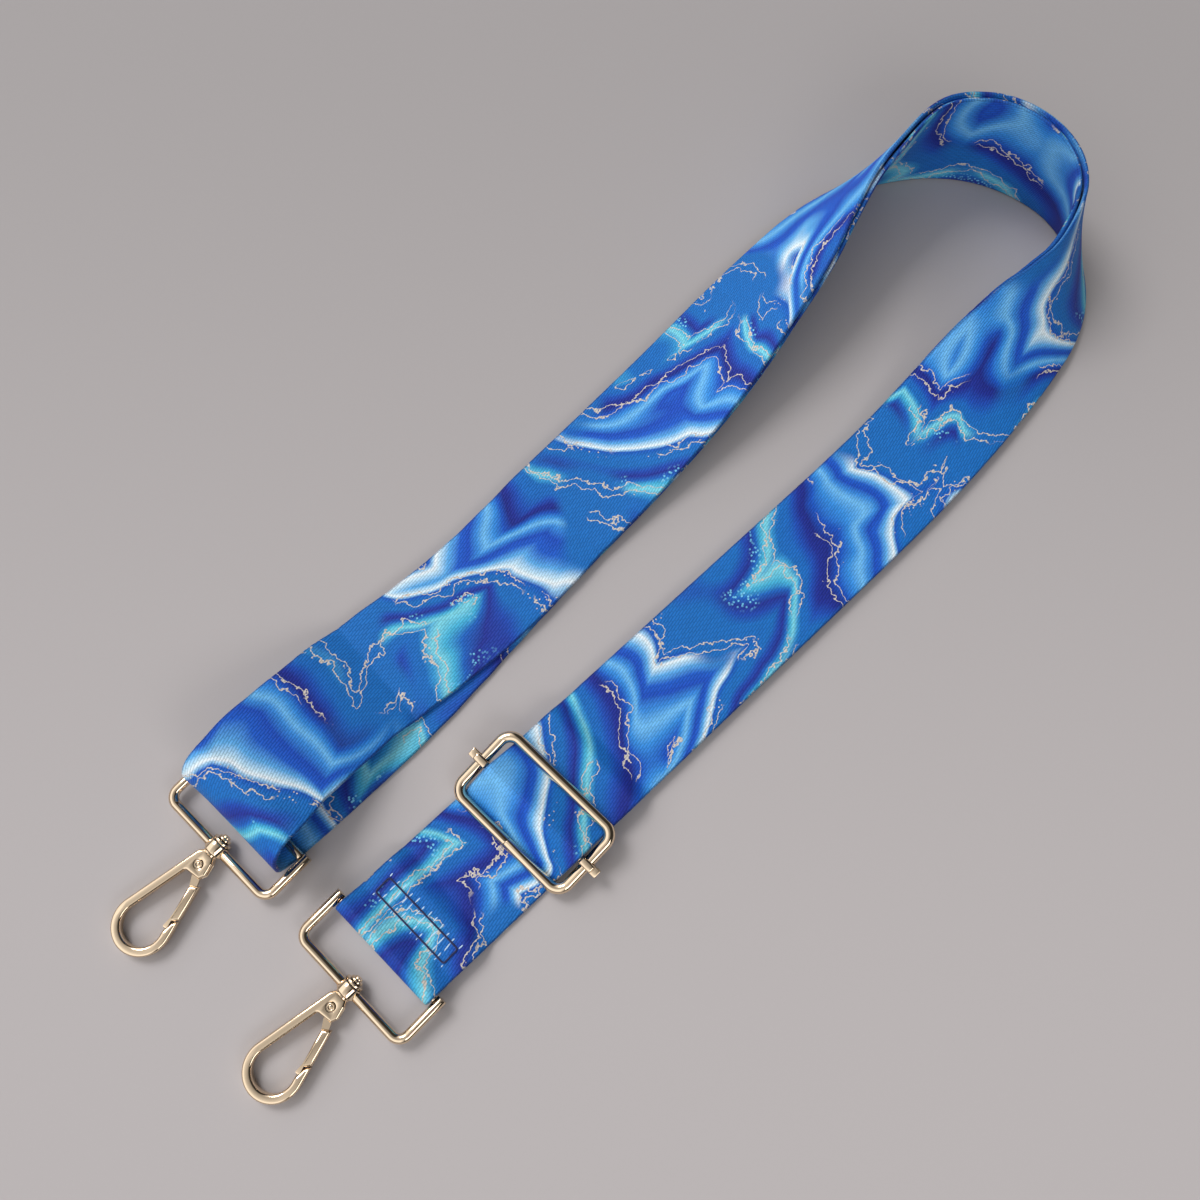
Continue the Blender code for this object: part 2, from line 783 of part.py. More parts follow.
# Outline of the gate's bar in the hook's plane
def gate_outline():
    start, along, outward, meeting = hook_side(1, shoulder_right)
    ends = [
        tuple(meeting - outward * (depth + (gate_gap if depth else 0)) - along * (back + gate_gap))
        for back, depth in parting()
    ]
    inner_end = tuple(meeting - outward * arm_width - along * (nose_inner_length + gate_gap))
    inner_start = start + along * (gate_start + gate_start_slant) - outward * arm_width
    return [tuple(start + along * gate_start), *ends[:-1], inner_end, tuple(inner_start)]


# The two edges of the gate's tongue where it joins the gate
def tongue_edges():
    start, along, outward, _ = hook_side(1, shoulder_right)
    root = start + along * (gate_start + gate_start_slant + overrun)
    near_edge = root - outward * (hook_chamfer + tongue_inset)
    return near_edge, near_edge - outward * tongue_width


# Direction from the rivet to the middle of the tongue's root in the gate
def tongue_facing():
    near_edge, far_edge = tongue_edges()
    return ((near_edge + far_edge) / 2 - Vector((rivet_from_barrel, 0))).normalized()


def tongue_outline():
    near_edge, far_edge = tongue_edges()
    rivet = Vector((rivet_from_barrel, 0))
    facing = tongue_facing()
    angle = math.atan2(facing.y, facing.x)
    eye = arc_points(rivet, tongue_eye_radius, angle + math.pi / 2, angle + math.pi * 3 / 2)
    return [*eye, tuple(far_edge), tuple(near_edge)]


def make_gate(prefix, hinge):
    offset = Vector((-rivet_from_barrel, 0, 0))
    outline = gate_outline()
    gate = add_plate(f"{prefix}_gate", outline, hook_thickness, metal_material, hinge, hook_chamfer)
    gate.location = offset
    tongue = add_plate(f"{prefix}_tongue", tongue_outline(), tongue_thickness, metal_material, hinge)
    tongue.location = offset + Vector((0, 0, -tongue_drop))
    add_boolean(gate, tongue, "UNION")
    eye_bore = rivet_radius + 2 * rivet_clearance
    eye = add_cylinder(f"{prefix}_eye", eye_bore, hook_thickness, metal_material, hinge)
    add_boolean(gate, eye, "DIFFERENCE")
    x, y = spring_hole()
    hole = add_cylinder(
        f"{prefix}_spring_hole", spring_hole_radius, hook_thickness, metal_material, hinge, (x, y, 0)
    )
    add_boolean(gate, hole, "DIFFERENCE")


def make_rivet(prefix, hinge):
    seat = hook_thickness / 2 - recess_depth
    half = [
        (0, seat + rivet_head_height),
        (rivet_head_radius * peened_top_share, seat + rivet_head_height),
        (rivet_head_radius, seat + rivet_head_height / 2),
        (rivet_head_radius, seat + rivet_clearance),
        (rivet_radius, seat + rivet_clearance),
    ]
    profile = half + [(radius, -height) for radius, height in reversed(half)]
    add_turned(f"{prefix}_gate_rivet", profile, metal_material, hinge)


# Place of the hole in the tongue that holds the spring, from the rivet
def spring_hole():
    facing = tongue_facing()
    return facing * spring_hole_from_rivet


# Hairpin spring beside the tongue: bent into its hole, round the rivet and along the slot's closed wall
def make_gate_spring(prefix, hinge):
    turn_radius = rivet_radius + rivet_clearance + spring_wire_radius
    height = slot_height / 2 - tongue_clearance - spring_wire_radius
    hole = spring_hole()
    wall = -slot_wall_side + spring_wire_radius + tongue_clearance
    turns = [(hole.x, hole.y, 0.0, 1), (0.0, 0.0, turn_radius, 1), (spring_leg_length, wall, 0.0, 1)]
    points = [(hole.x, hole.y, -tongue_drop)] + [(x, y, height) for x, y in belt_points(turns)]
    add_wire(f"{prefix}_gate_spring", points, spring_wire_radius, spring_material, hinge, sides=1)


# One ring and hook. Its empties lie on the ring bar, the swivel and the rivet; local X points at the tip
def make_hook(prefix, bar_x, ring_y, yaw, strap):
    turned = (0, hook_pitch, math.pi + yaw)
    pivot = make_empty(f"{prefix}_bar_axis", strap, (bar_x, ring_y, bar_height), turned)
    swivel = make_empty(f"{prefix}_swivel_axis", pivot, (ring_depth, 0, 0))
    hinge = make_empty(f"{prefix}_gate_axis", swivel, (rivet_from_barrel, 0, 0))
    make_ring(prefix, pivot)
    make_hook_body(prefix, swivel)
    make_gate(prefix, hinge)
    make_rivet(prefix, hinge)
    make_gate_spring(prefix, hinge)


# Rounded wire frame of the slider, open by a hair at the butt seam in the middle of its near side
def make_slider_frame(tilted):
    long_half, short_half = slider_half_width, slider_pitch / 2
    corner = slider_corner_radius
    turns = [(-1, 1), (1, 1), (1, -1), (-1, -1)]
    points = [(-short_half, slider_seam_gap / 2, 0)]
    for index, (x_side, y_side) in enumerate(turns):
        center = (x_side * (short_half - corner), y_side * (long_half - corner))
        start = math.pi - index * math.pi / 2
        points += [(x, y, 0) for x, y in arc_points(center, corner, start, start - math.pi / 2)]
    points.append((-short_half, -slider_seam_gap / 2, 0))
    add_wire("slider_frame", points, slider_wire_radius, metal_material, tilted, sides=3)


# Centre bar of the slider, with an eye at each end that slides on the frame's short side and ends in a nub
def make_slider_bar(tilted):
    bore = slider_wire_radius + eye_clearance
    half_eye = bore + eye_wall
    turned = (math.pi / 2, 0, 0)
    length = 2 * slider_half_width
    bar = add_cylinder("slider_bar", slider_bar_radius, length, metal_material, tilted, rotation=turned)
    for side, name in ((1, "left"), (-1, "right")):
        eye_size = (eye_length, 2 * half_eye, 2 * half_eye)
        eye = add_box(f"{name}_eye", eye_size, (0, side * slider_half_width, 0), metal_material, tilted)
        add_bevel(eye, eye_bevel)
        add_boolean(bar, eye, "UNION")
        nub_size = (nub_length, nub_reach + bore, nub_height)
        nub_center = (0, side * (slider_half_width + (nub_reach + bore) / 2), 0)
        nub = add_box(f"{name}_nub", nub_size, nub_center, metal_material, tilted)
        add_bevel(nub, eye_bevel)
        add_boolean(bar, nub, "UNION")
    for side, name in ((1, "left"), (-1, "right")):
        place = (0, side * slider_half_width, 0)
        hole_length = eye_length + 2 * overrun
        turned = (0, math.pi / 2, 0)
        hole = add_cylinder(f"{name}_eye_bore", bore, hole_length, metal_material, tilted, place, turned)
        add_boolean(bar, hole, "DIFFERENCE")


def make_slider(strap):
    place = (-slider_back, right_branch_y + slider_offset, slider_height)
    tilted = make_empty("slider_axis", strap, place, (0, -slider_tilt, slider_yaw))
    make_slider_frame(tilted)
    make_slider_bar(tilted)
    make_over_bar(strap)
    make_sewn_end(strap)
    make_stitches("slider", -slider_back, slider_yaw, 0, strap)


# Moves the whole strap so that its origin is at the middle of its length and width, on the table
def center_on_origin(strap):
    bpy.context.view_layer.update()
    graph = bpy.context.evaluated_depsgraph_get()
    corners = []
    for obj in parts.objects:
        if obj.type == "EMPTY":
            continue
        shape = obj.evaluated_get(graph)
        mesh = shape.to_mesh()
        corners += [shape.matrix_world @ vertex.co for vertex in mesh.vertices]
        shape.to_mesh_clear()
    for axis in range(2):
        values = [corner[axis] for corner in corners]
        strap.location[axis] = -(min(values) + max(values)) / 2
    strap.location.z = -min(corner.z for corner in corners)


def shade_round_pieces():
    for obj in parts.objects:
        if obj.type == "MESH" and not obj.name.startswith("webbing"):
            obj.data.shade_smooth()
            obj.data.set_sharp_from_angle(angle=math.radians(35))


clear_scene()
parts = make_collection("detachable_bag_strap")
helpers = make_collection("cutters_and_joined_shapes")
webbing_material = make_material("printed_webbing", (0.03, 0.19, 0.64), 0.75, 0.0)
thread_material = make_material("navy_thread", (0.01, 0.02, 0.12), 0.8, 0.0)
metal_material = make_material("champagne_gold", (0.86, 0.69, 0.50), 0.2, 1.0)
spring_material = make_material("spring_steel", (0.55, 0.55, 0.57), 0.35, 1.0)

strap = make_empty("strap", None)
make_hook_2_fold(strap)
make_stitches("hook_2", -hook_2_bar_back, hook_2_yaw, bar_lift, strap)
make_single_run(strap)
make_right_branch(strap)
make_bend(strap)
make_left_branch(strap)
make_slider(strap)
make_hook("hook_1", -hook_1_bar_back, ring_1_y, hook_1_yaw, strap)
make_hook("hook_2", -hook_2_bar_back, right_branch_y, hook_2_yaw, strap)
shade_round_pieces()
center_on_origin(strap)
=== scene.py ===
import json
import math
import random
from functools import partial, reduce

import bmesh
import bpy
from mathutils import Euler, Matrix, Vector, noise

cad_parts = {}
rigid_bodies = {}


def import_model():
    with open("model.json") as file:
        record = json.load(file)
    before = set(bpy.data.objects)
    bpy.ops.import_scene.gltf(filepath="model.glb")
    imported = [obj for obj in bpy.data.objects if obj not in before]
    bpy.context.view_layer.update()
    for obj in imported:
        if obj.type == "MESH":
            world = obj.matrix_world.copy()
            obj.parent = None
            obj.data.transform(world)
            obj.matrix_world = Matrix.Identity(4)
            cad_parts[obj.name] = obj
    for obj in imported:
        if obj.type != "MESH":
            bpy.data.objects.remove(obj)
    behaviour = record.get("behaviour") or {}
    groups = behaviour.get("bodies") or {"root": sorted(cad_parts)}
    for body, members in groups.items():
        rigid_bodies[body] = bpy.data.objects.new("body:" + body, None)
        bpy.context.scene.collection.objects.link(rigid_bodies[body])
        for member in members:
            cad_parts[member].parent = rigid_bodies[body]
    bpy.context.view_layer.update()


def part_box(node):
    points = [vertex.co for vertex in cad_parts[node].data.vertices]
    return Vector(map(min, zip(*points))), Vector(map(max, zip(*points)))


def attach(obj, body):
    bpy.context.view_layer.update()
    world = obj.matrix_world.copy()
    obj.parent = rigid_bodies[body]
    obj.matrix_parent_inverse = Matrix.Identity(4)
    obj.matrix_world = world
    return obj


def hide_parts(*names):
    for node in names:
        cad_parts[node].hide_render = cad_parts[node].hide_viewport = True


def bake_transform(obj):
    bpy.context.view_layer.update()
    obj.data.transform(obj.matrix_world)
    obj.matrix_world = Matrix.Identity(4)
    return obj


for startObject in list(bpy.data.objects):
    bpy.data.objects.remove(startObject, do_unlink=True)
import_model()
print("frame loaded")

# The strap lies with X from its hooks to its bend, Y across its two branches and Z up. Sizes are in metres
webbing = {
    "width": 0.0375,
    "thickness": 0.0013,
    "layerGap": 0.0003,
    "standingGap": 0.0011,  # between the layers where they stand on edge
    "endGap": 0.0003,
    "softRadius": 0.0045,
    "edgeRound": 0.00055,
    "edgeWave": 0.00009,  # how far the selvedge wanders
    "edgeWavePitch": 0.0016,
    "stationStep": 0.0014,
    "steadyShare": 0.93,  # of the half width, where the selvedge starts to wander
    "pointsAcross": 16,
    "edgePoints": 6,
    "backShift": 3.7,  # along the print, between the two faces
    "sharpEdge": math.radians(60),
}

layout = {
    "bendReach": 0.2077,
    "halfSpan": 0.053,
    "hook1BarBack": 0.1166,
    "hook2BarBack": 0.1139,
    "singleRun": 0.0068,
    "ringGap": 0.0110,
    "hook1Yaw": math.radians(3),
    "hook2Yaw": math.radians(2.5),
    "sliderYaw": math.radians(3.2),
    "sliderOffset": 0.0001,
    "yawFade": 0.007,
}

# Outer edge round the bend: shares of the reach and of the half span, and the roll in quarter turns
bendEdge = [
    (0.385, -0.998, 0.00),
    (0.505, -0.987, 0.01),
    (0.626, -0.951, 0.07),
    (0.713, -0.906, 0.17),
    (0.780, -0.855, 0.30),
    (0.847, -0.785, 0.44),
    (0.905, -0.672, 0.56),
    (0.953, -0.500, 0.67),
    (0.987, -0.292, 0.78),
    (1.000, -0.075, 0.87),
    (0.992, 0.151, 0.96),
    (0.970, 0.358, 1.02),
    (0.936, 0.543, 1.04),
    (0.886, 0.713, 1.00),
    (0.818, 0.864, 0.84),
    (0.741, 0.962, 0.70),
    (0.664, 1.004, 0.57),
    (0.578, 1.008, 0.44),
    (0.491, 0.998, 0.34),
    (0.409, 0.981, 0.24),
    (0.327, 0.960, 0.16),
    (0.241, 0.942, 0.09),
    (0.144, 0.923, 0.03),
    (0.048, 0.904, 0.00),
]

loop = {
    "riseBack": 0.052,
    "crestRadius": 0.0086,
    "frontRadius": 0.0055,
    "crestAhead": 0.0028,
    "frontBack": 0.0010,
    "height": 0.0200,
    "underLength": 0.0150,
    "squareReach": 0.0073,
    "topSides": [1.0, 0.83, 0.70, 0.67, 0.74, 0.88, 0.95, 0.81, 0.66, 0.31, 0.0, 0.0, 0.0],
    "underSides": [1.0, 0.86, 0.70, 0.52, 0.33, 0.16, 0.06, 0.02, 0.0],
}

sewing = {
    "hookTail": 0.0160,
    "sliderTail": 0.0225,
    "ramp": 0.0070,
    "stiffPastTail": 0.0010,
    "fromBar": 0.0082,
    "length": 0.0055,
    "width": 0.0280,
    "threadRadius": 0.0002,
    "threadSpread": 1.35,  # a stitched thread is flattened, so it looks wider than it is high
    "clearance": 0.00005,
    "stitch": 0.0023,
    "dip": 0.00022,
    "cornerRound": 0.0008,
    "threadStep": 0.00028,
}

ring = {
    "wire": 0.0015,
    "sideGap": 0.0004,
    "depth": 0.0149,
    "corner": 0.0033,
    "overshoot": 0.0015,
    "bar": 0.00125,
    "barEndGap": 0.00005,
    "barLift": 0.0005,
    "barRound": 0.0001,
    "barrelRadius": 0.0032,
    "barrelLength": 0.0034,
    "barrelRound": 0.00035,
    "legInBarrel": 0.0010,
    "bore": 0.0015,
    "endRound": 0.0003,
}

swivel = {
    "post": 0.0014,
    "gap": 0.0002,
    "flange": 0.0024,
    "flangeThickness": 0.0007,
    "washer": 0.0030,
    "washerBore": 0.0016,
    "washerThickness": 0.0008,
    "head": 0.0020,
    "headLength": 0.0014,
    "discThickness": 0.00072,
    "discRound": 0.00024,
    "nub": 0.00122,
    "edge": 0.0001,  # the small roundings are told in steps of this
    "peenDent": [(0.45, 0.2), (0.28, 1.2), (0, 1.6)],  # share of the nub and depth in such steps
    "washerRound": 0.00018,
}

hook = {
    "thickness": 0.0035,
    "round": 0.0008,
    "chamfer": 0.0005,
    "neckStart": 0.0022,
    "neckHalf": 0.0019,
    "shoulder": 0.0016,
    "shoulderLeft": 0.0032,
    "shoulderRight": 0.0029,
    "bowFromBarrel": 0.0285,
    "bowSide": 0.0010,
    "bowRadius": 0.0087,
    "arm": 0.0027,
    "noseOuter": 0.0056,
    "noseInner": 0.0018,
    "noseSlant": 0.0012,
    "noseStep": 0.60,
    "noseTip": 0.85,
    "rivetFromBarrel": 0.0063,
    "cheekReach": 0.0073,
    "cheekEnd": 0.0092,
    "cheekEndSide": 0.0031,
    "crotchEnd": 0.0099,
    "slotStart": 0.0041,
    "slotHeight": 0.0018,
    "slotWall": 0.0019,
    "edgeBreak": 0.00007,
    "edgeAngle": 40,  # in degrees, from which an edge is broken
    "cornerRounds": (0.0009, 0.0009, 0.0005, 0.0006),  # shoulder, cheek, cheek's end and crotch
}

gate = {
    "gap": 0.0003,
    "start": 0.0070,
    "startSlant": 0.0009,
    "tongue": 0.0011,
    "tongueGap": 0.0001,
    "tongueEye": 0.0016,
    "tongueWidth": 0.0019,
    "tongueInset": 0.0002,
    "rivet": 0.0008,
    "rivetGap": 0.00005,
    "rivetHead": 0.00115,
    "rivetHeadHeight": 0.0003,
    "rivetFace": [  # from the middle out, in shares of the head's radius and height
        (0, 0.62), (0.26, 0.60), (0.38, 0.50), (0.46, 0.22), (0.54, 0.24),
        (0.62, 0.72), (0.72, 0.97), (0.82, 1.0), (0.93, 0.84), (1.0, 0.50),
    ],
    "recess": 0.00155,
    "recessDepth": 0.0003,
    "grooveDepth": 0.0006,  # round the rivet's head
    "springWire": 0.0002,
    "springHole": 0.0003,
    "springHoleFromRivet": 0.0026,
    "springLeg": 0.0034,
    "springBendShares": (0.45, 0.85),  # of the way out to the spring's hole in the tongue
}

slider = {
    "wire": 0.0017,
    "sideGap": 0.0009,
    "pitch": 0.0236,
    "corner": 0.0040,
    "seam": 0.0001,
    "endRound": 0.0004,
    "bar": 0.00125,
    "barEndGap": 0.0001,
    "eyeLength": 0.0025,
    "eyeWall": 0.0005,
    "eyeGap": 0.00015,
    "eyeRound": 0.0003,
    "nubLength": 0.0028,
    "nubHeight": 0.0020,
    "nubReach": 0.0022,
}

# Heights and places that follow from the sizes above
overrun = 0.0010
arcStep = math.radians(5)
metalSharpEdge = math.radians(38)
halfThick = webbing["thickness"] / 2
layerPitch = webbing["thickness"] + webbing["layerGap"]
lowLayer = halfThick
highLayer = lowLayer + layerPitch
stitchRoom = 2 * (sewing["threadRadius"] + sewing["clearance"])
sewnLow = lowLayer + stitchRoom
sewnHigh = sewnLow + layerPitch
coveredLayer = sewnHigh + layerPitch + stitchRoom
barWrap = webbing["layerGap"] + halfThick
foldLow = sewnLow + ring["barLift"]
foldHigh = foldLow + layerPitch
barHeight = foldLow + barWrap + ring["bar"]
ringHalf = webbing["width"] / 2 + ring["sideGap"] + ring["wire"]
hookReach = ring["depth"] + hook["bowFromBarrel"] + hook["bowRadius"]
hookPitch = math.asin((barHeight - hook["thickness"] / 2) / hookReach)
rightY = layout["halfSpan"] * bendEdge[0][1] + webbing["width"] / 2
leftY = layout["halfSpan"] * bendEdge[-1][1] - webbing["width"] / 2
ring1Y = rightY + 2 * (ringHalf + ring["wire"]) + layout["ringGap"]
bendStartX = layout["bendReach"] * bendEdge[0][0]
bendEndX = layout["bendReach"] * bendEdge[-1][0]
wireWrap = slider["wire"] + webbing["layerGap"] + halfThick
nearWireHeight = lowLayer + wireWrap
farWireHeight = coveredLayer + wireWrap
sliderTilt = math.asin((farWireHeight - nearWireHeight) / slider["pitch"])
sliderHeight = (nearWireHeight + farWireHeight) / 2
sliderHalf = webbing["width"] / 2 + slider["sideGap"] + slider["wire"]
wireReach = slider["pitch"] / 2 * math.cos(sliderTilt)
humpReach = wireReach + wireWrap + layout["yawFade"]
hookSewnReach = sewing["hookTail"] + sewing["ramp"] + webbing["softRadius"]
sliderSewnReach = sewing["sliderTail"] + sewing["ramp"] + webbing["softRadius"]
sliderX = -(layout["hook2BarBack"] - hookSewnReach - layout["singleRun"] - humpReach)
hook1X = -layout["hook1BarBack"]
hook2X = -layout["hook2BarBack"]
hookTailX = hook2X + sewing["hookTail"]
sliderTailX = sliderX + sewing["sliderTail"]
stitchStart = sewing["fromBar"] - 2 * sewing["threadRadius"]

# The CAD model stands in the middle of its box, so its straight lower run tells the layout's origin
runLow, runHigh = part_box("webbing_under_right")
originX = runHigh.x + webbing["endGap"] / 2 - bendStartX
origin = Vector((originX, (runLow.y + runHigh.y) / 2 - rightY, runLow.z))


def linearColor(red, green, blue):  # from the 0 to 255 values of a colour picker
    shares = [value / 255 for value in (red, green, blue)]
    return (*(s / 12.92 if s <= 0.04045 else ((s + 0.055) / 1.055) ** 2.4 for s in shares), 1.0)


def setAll(thing, settings):
    for name, value in settings.items():
        setattr(thing, name, value)
    return thing


def setInputs(tree, node, inputs):  # by name, or in their order
    for key, value in inputs.items() if isinstance(inputs, dict) else enumerate(inputs):
        if isinstance(value, bpy.types.NodeSocket):
            tree.links.new(value, node.inputs[key])
        else:
            node.inputs[key].default_value = value
    return node.outputs


def addNode(tree, kind, inputs=(), **settings):
    return setInputs(tree, setAll(tree.nodes.new("ShaderNode" + kind), settings), inputs)


def addMath(tree, operation, *values):
    return addNode(tree, "Math", values, operation=operation)[0]


def addVector(tree, operation, *values):
    return addNode(tree, "VectorMath", values, operation=operation)[0]


def addRange(tree, value, start, end, low=0.0, high=1.0):  # smooth step from start to end
    return addNode(tree, "MapRange", (value, start, end, low, high), interpolation_type="SMOOTHSTEP")[0]


def addNoise(tree, vector, scale, detail=1.0, roughness=0.5, dimensions="2D"):
    inputs = {"Vector": vector, "Scale": scale, "Detail": detail, "Roughness": roughness}
    return addNode(tree, "TexNoise", inputs, noise_dimensions=dimensions)


def addMix(tree, share, first, second, blend="MIX"):  # colours
    return addNode(tree, "Mix", {0: share, 6: first, 7: second}, data_type="RGBA", blend_type=blend)[2]


def addGray(tree, value):
    return addNode(tree, "CombineColor", (value, value, value))[0]


def addRamp(tree, value, stops):
    node = tree.nodes.new("ShaderNodeValToRGB")
    tree.links.new(value, node.inputs["Fac"])
    elements = node.color_ramp.elements
    while len(elements) < len(stops):
        elements.new(1.0)
    for element, (place, color) in zip(elements, stops):
        element.position = place
        element.color = color
    return node.outputs["Color"]


def newGroup(name, inputs, outputs):  # numbers go in with their values and a vector with None
    group = bpy.data.node_groups.new(name, "ShaderNodeTree")
    for label, value in inputs.items():
        kind = "NodeSocketVector" if value is None else "NodeSocketFloat"
        socket = group.interface.new_socket(label, in_out="INPUT", socket_type=kind)
        if value is not None:
            socket.default_value = value
    for label, kind in outputs.items():
        group.interface.new_socket(label, in_out="OUTPUT", socket_type="NodeSocket" + kind)
    helpers = [partial(add, group) for add in (addMath, addRange, addNoise)]
    return group, group.nodes.new("NodeGroupInput").outputs, group.nodes.new("NodeGroupOutput"), *helpers


def useGroup(tree, group, inputs):
    return addNode(tree, "Group", inputs, node_tree=group)


agate = {
    "tile": 0.0375,  # metres of webbing to one unit of the pattern
    "warp": (0.45, 0.8),  # scale of the noise and how far it bends the pattern
    "fineWarp": (1.7, 0.16),
    "bandsAlong": 0.47,
    "cells": 0.9,
    "cellSoftness": 0.12,
    "cellPull": 0.20,
    "drift": 0.33,
    "driftPull": 1.1,
    "shear": ((0.36, 0.64), 0.9),  # noise between which it turns from one side to the other, and how far
    "zigzag": 0.62,  # how far the bands run ahead and back between their sharp corners
    "zigzagAcross": 0.85,
    "zigzagDrift": 4.0,
    "zigzagStrength": (0.38, 0.60, 0.2, 2.0),  # from this noise to that, between these strengths
    "zigzagPlace": ((11.0, 2.0), 0.7),  # shift and scale of that noise
    "slopeReach": 0.03,
    "slopes": (0.12, 3.0),  # least and most, in levels to one tile
    "calm": (0.8, (0.58, 0.68)),  # scale of the noise, and where the bands fade into the plain colour
    "veinWidth": 0.0075,
    "veinWiggle": 0.21,
    "veinParting": 0.034,  # half the distance between the two strands of a vein
    "veinNoise": (6.0, 3.0, 0.6),
    "veinLevels": [(0.22, 0.46), (0.64, 0.40), (0.945, 0.42)],  # and how seldom each of them shows
    "veinShown": (1.1, 0.02),  # scale of the noise that hides them, and how softly
    "veinShifts": (13.7, 5.9, 7.3, 3.1),  # strands and levels lie apart in their noise
    # Scale and size of the dots, the level they keep near and how near, scale and share of their clumps
    "specks": (21.0, (0.15, 0.11), 0.64, (0.055, 0.03), 5.0, (0.56, 0.60)),
    "drops": (27.0, (0.30, 0.20), 0.865, (0.08, 0.03), 3.1, (0.56, 0.62)),
    "stops": [
        (0.00, (24, 108, 188)), (0.06, (24, 104, 190)), (0.11, (26, 76, 178)), (0.16, (28, 46, 146)),
        (0.20, (26, 40, 134)), (0.25, (22, 84, 190)), (0.30, (54, 142, 222)), (0.35, (112, 186, 238)),
        (0.39, (58, 140, 220)), (0.44, (24, 76, 186)), (0.485, (28, 92, 200)), (0.53, (94, 172, 232)),
        (0.565, (190, 224, 244)), (0.585, (234, 243, 248)), (0.60, (148, 198, 234)), (0.617, (20, 88, 186)),
        (0.66, (24, 108, 190)), (0.73, (24, 108, 188)), (0.78, (28, 72, 174)), (0.82, (32, 48, 146)),
        (0.86, (26, 98, 190)), (0.90, (70, 178, 216)), (0.935, (126, 212, 228)), (0.97, (54, 152, 210)),
        (1.00, (24, 108, 188)),
    ],
    "plain": linearColor(24, 108, 188),
    "vein": linearColor(206, 197, 188),
    "drop": linearColor(116, 196, 232),
}


def addMoved(tree, vector, x, y):
    return addVector(tree, "ADD", vector, (x, y, 0))


def buildLevelGroup():  # a field that rises along the webbing, whose contours are the agate's bands
    group, given, made, calc, ease, cloud = newGroup("agateLevel", {"Vector": None}, {"Level": "Float"})
    place = bent = given["Vector"]
    for scale, amount in (agate["warp"], agate["fineWarp"]):
        centered = addVector(group, "SUBTRACT", cloud(place, scale)["Color"], (0.5, 0.5, 0.5))
        bent = addVector(group, "MULTIPLY_ADD", centered, (amount, amount, 0), bent)
    cells = addNode(
        group, "TexVoronoi", {"Vector": bent, "Scale": agate["cells"], "Smoothness": agate["cellSoftness"]},
        voronoi_dimensions="2D", feature="SMOOTH_F1",
    )["Distance"]
    drift = cloud(place, agate["drift"])
    parts = addNode(group, "SeparateXYZ", (bent,))
    slide = addNode(group, "SeparateColor", (drift["Color"],))
    folds = calc("MULTIPLY", slide["Green"], agate["zigzagDrift"])
    folds = calc("MULTIPLY_ADD", parts["Y"], agate["zigzagAcross"], folds)
    folds = calc("SUBTRACT", calc("PINGPONG", folds, 0.5), 0.25)
    shift, scale = agate["zigzagPlace"]
    strength = ease(cloud(addMoved(group, place, *shift), scale)["Fac"], *agate["zigzagStrength"])
    along = calc("MULTIPLY_ADD", calc("MULTIPLY", folds, strength), agate["zigzag"], parts["X"])
    turning, most = agate["shear"]
    shear = ease(slide["Blue"], *turning, -most, most)
    along = calc("MULTIPLY_ADD", shear, parts["Y"], along)
    level = calc("MULTIPLY", along, agate["bandsAlong"])
    level = calc("MULTIPLY_ADD", cells, agate["cellPull"], level)
    level = calc("MULTIPLY_ADD", drift["Fac"], agate["driftPull"], level)
    setInputs(group, made, {"Level": level})
    return group


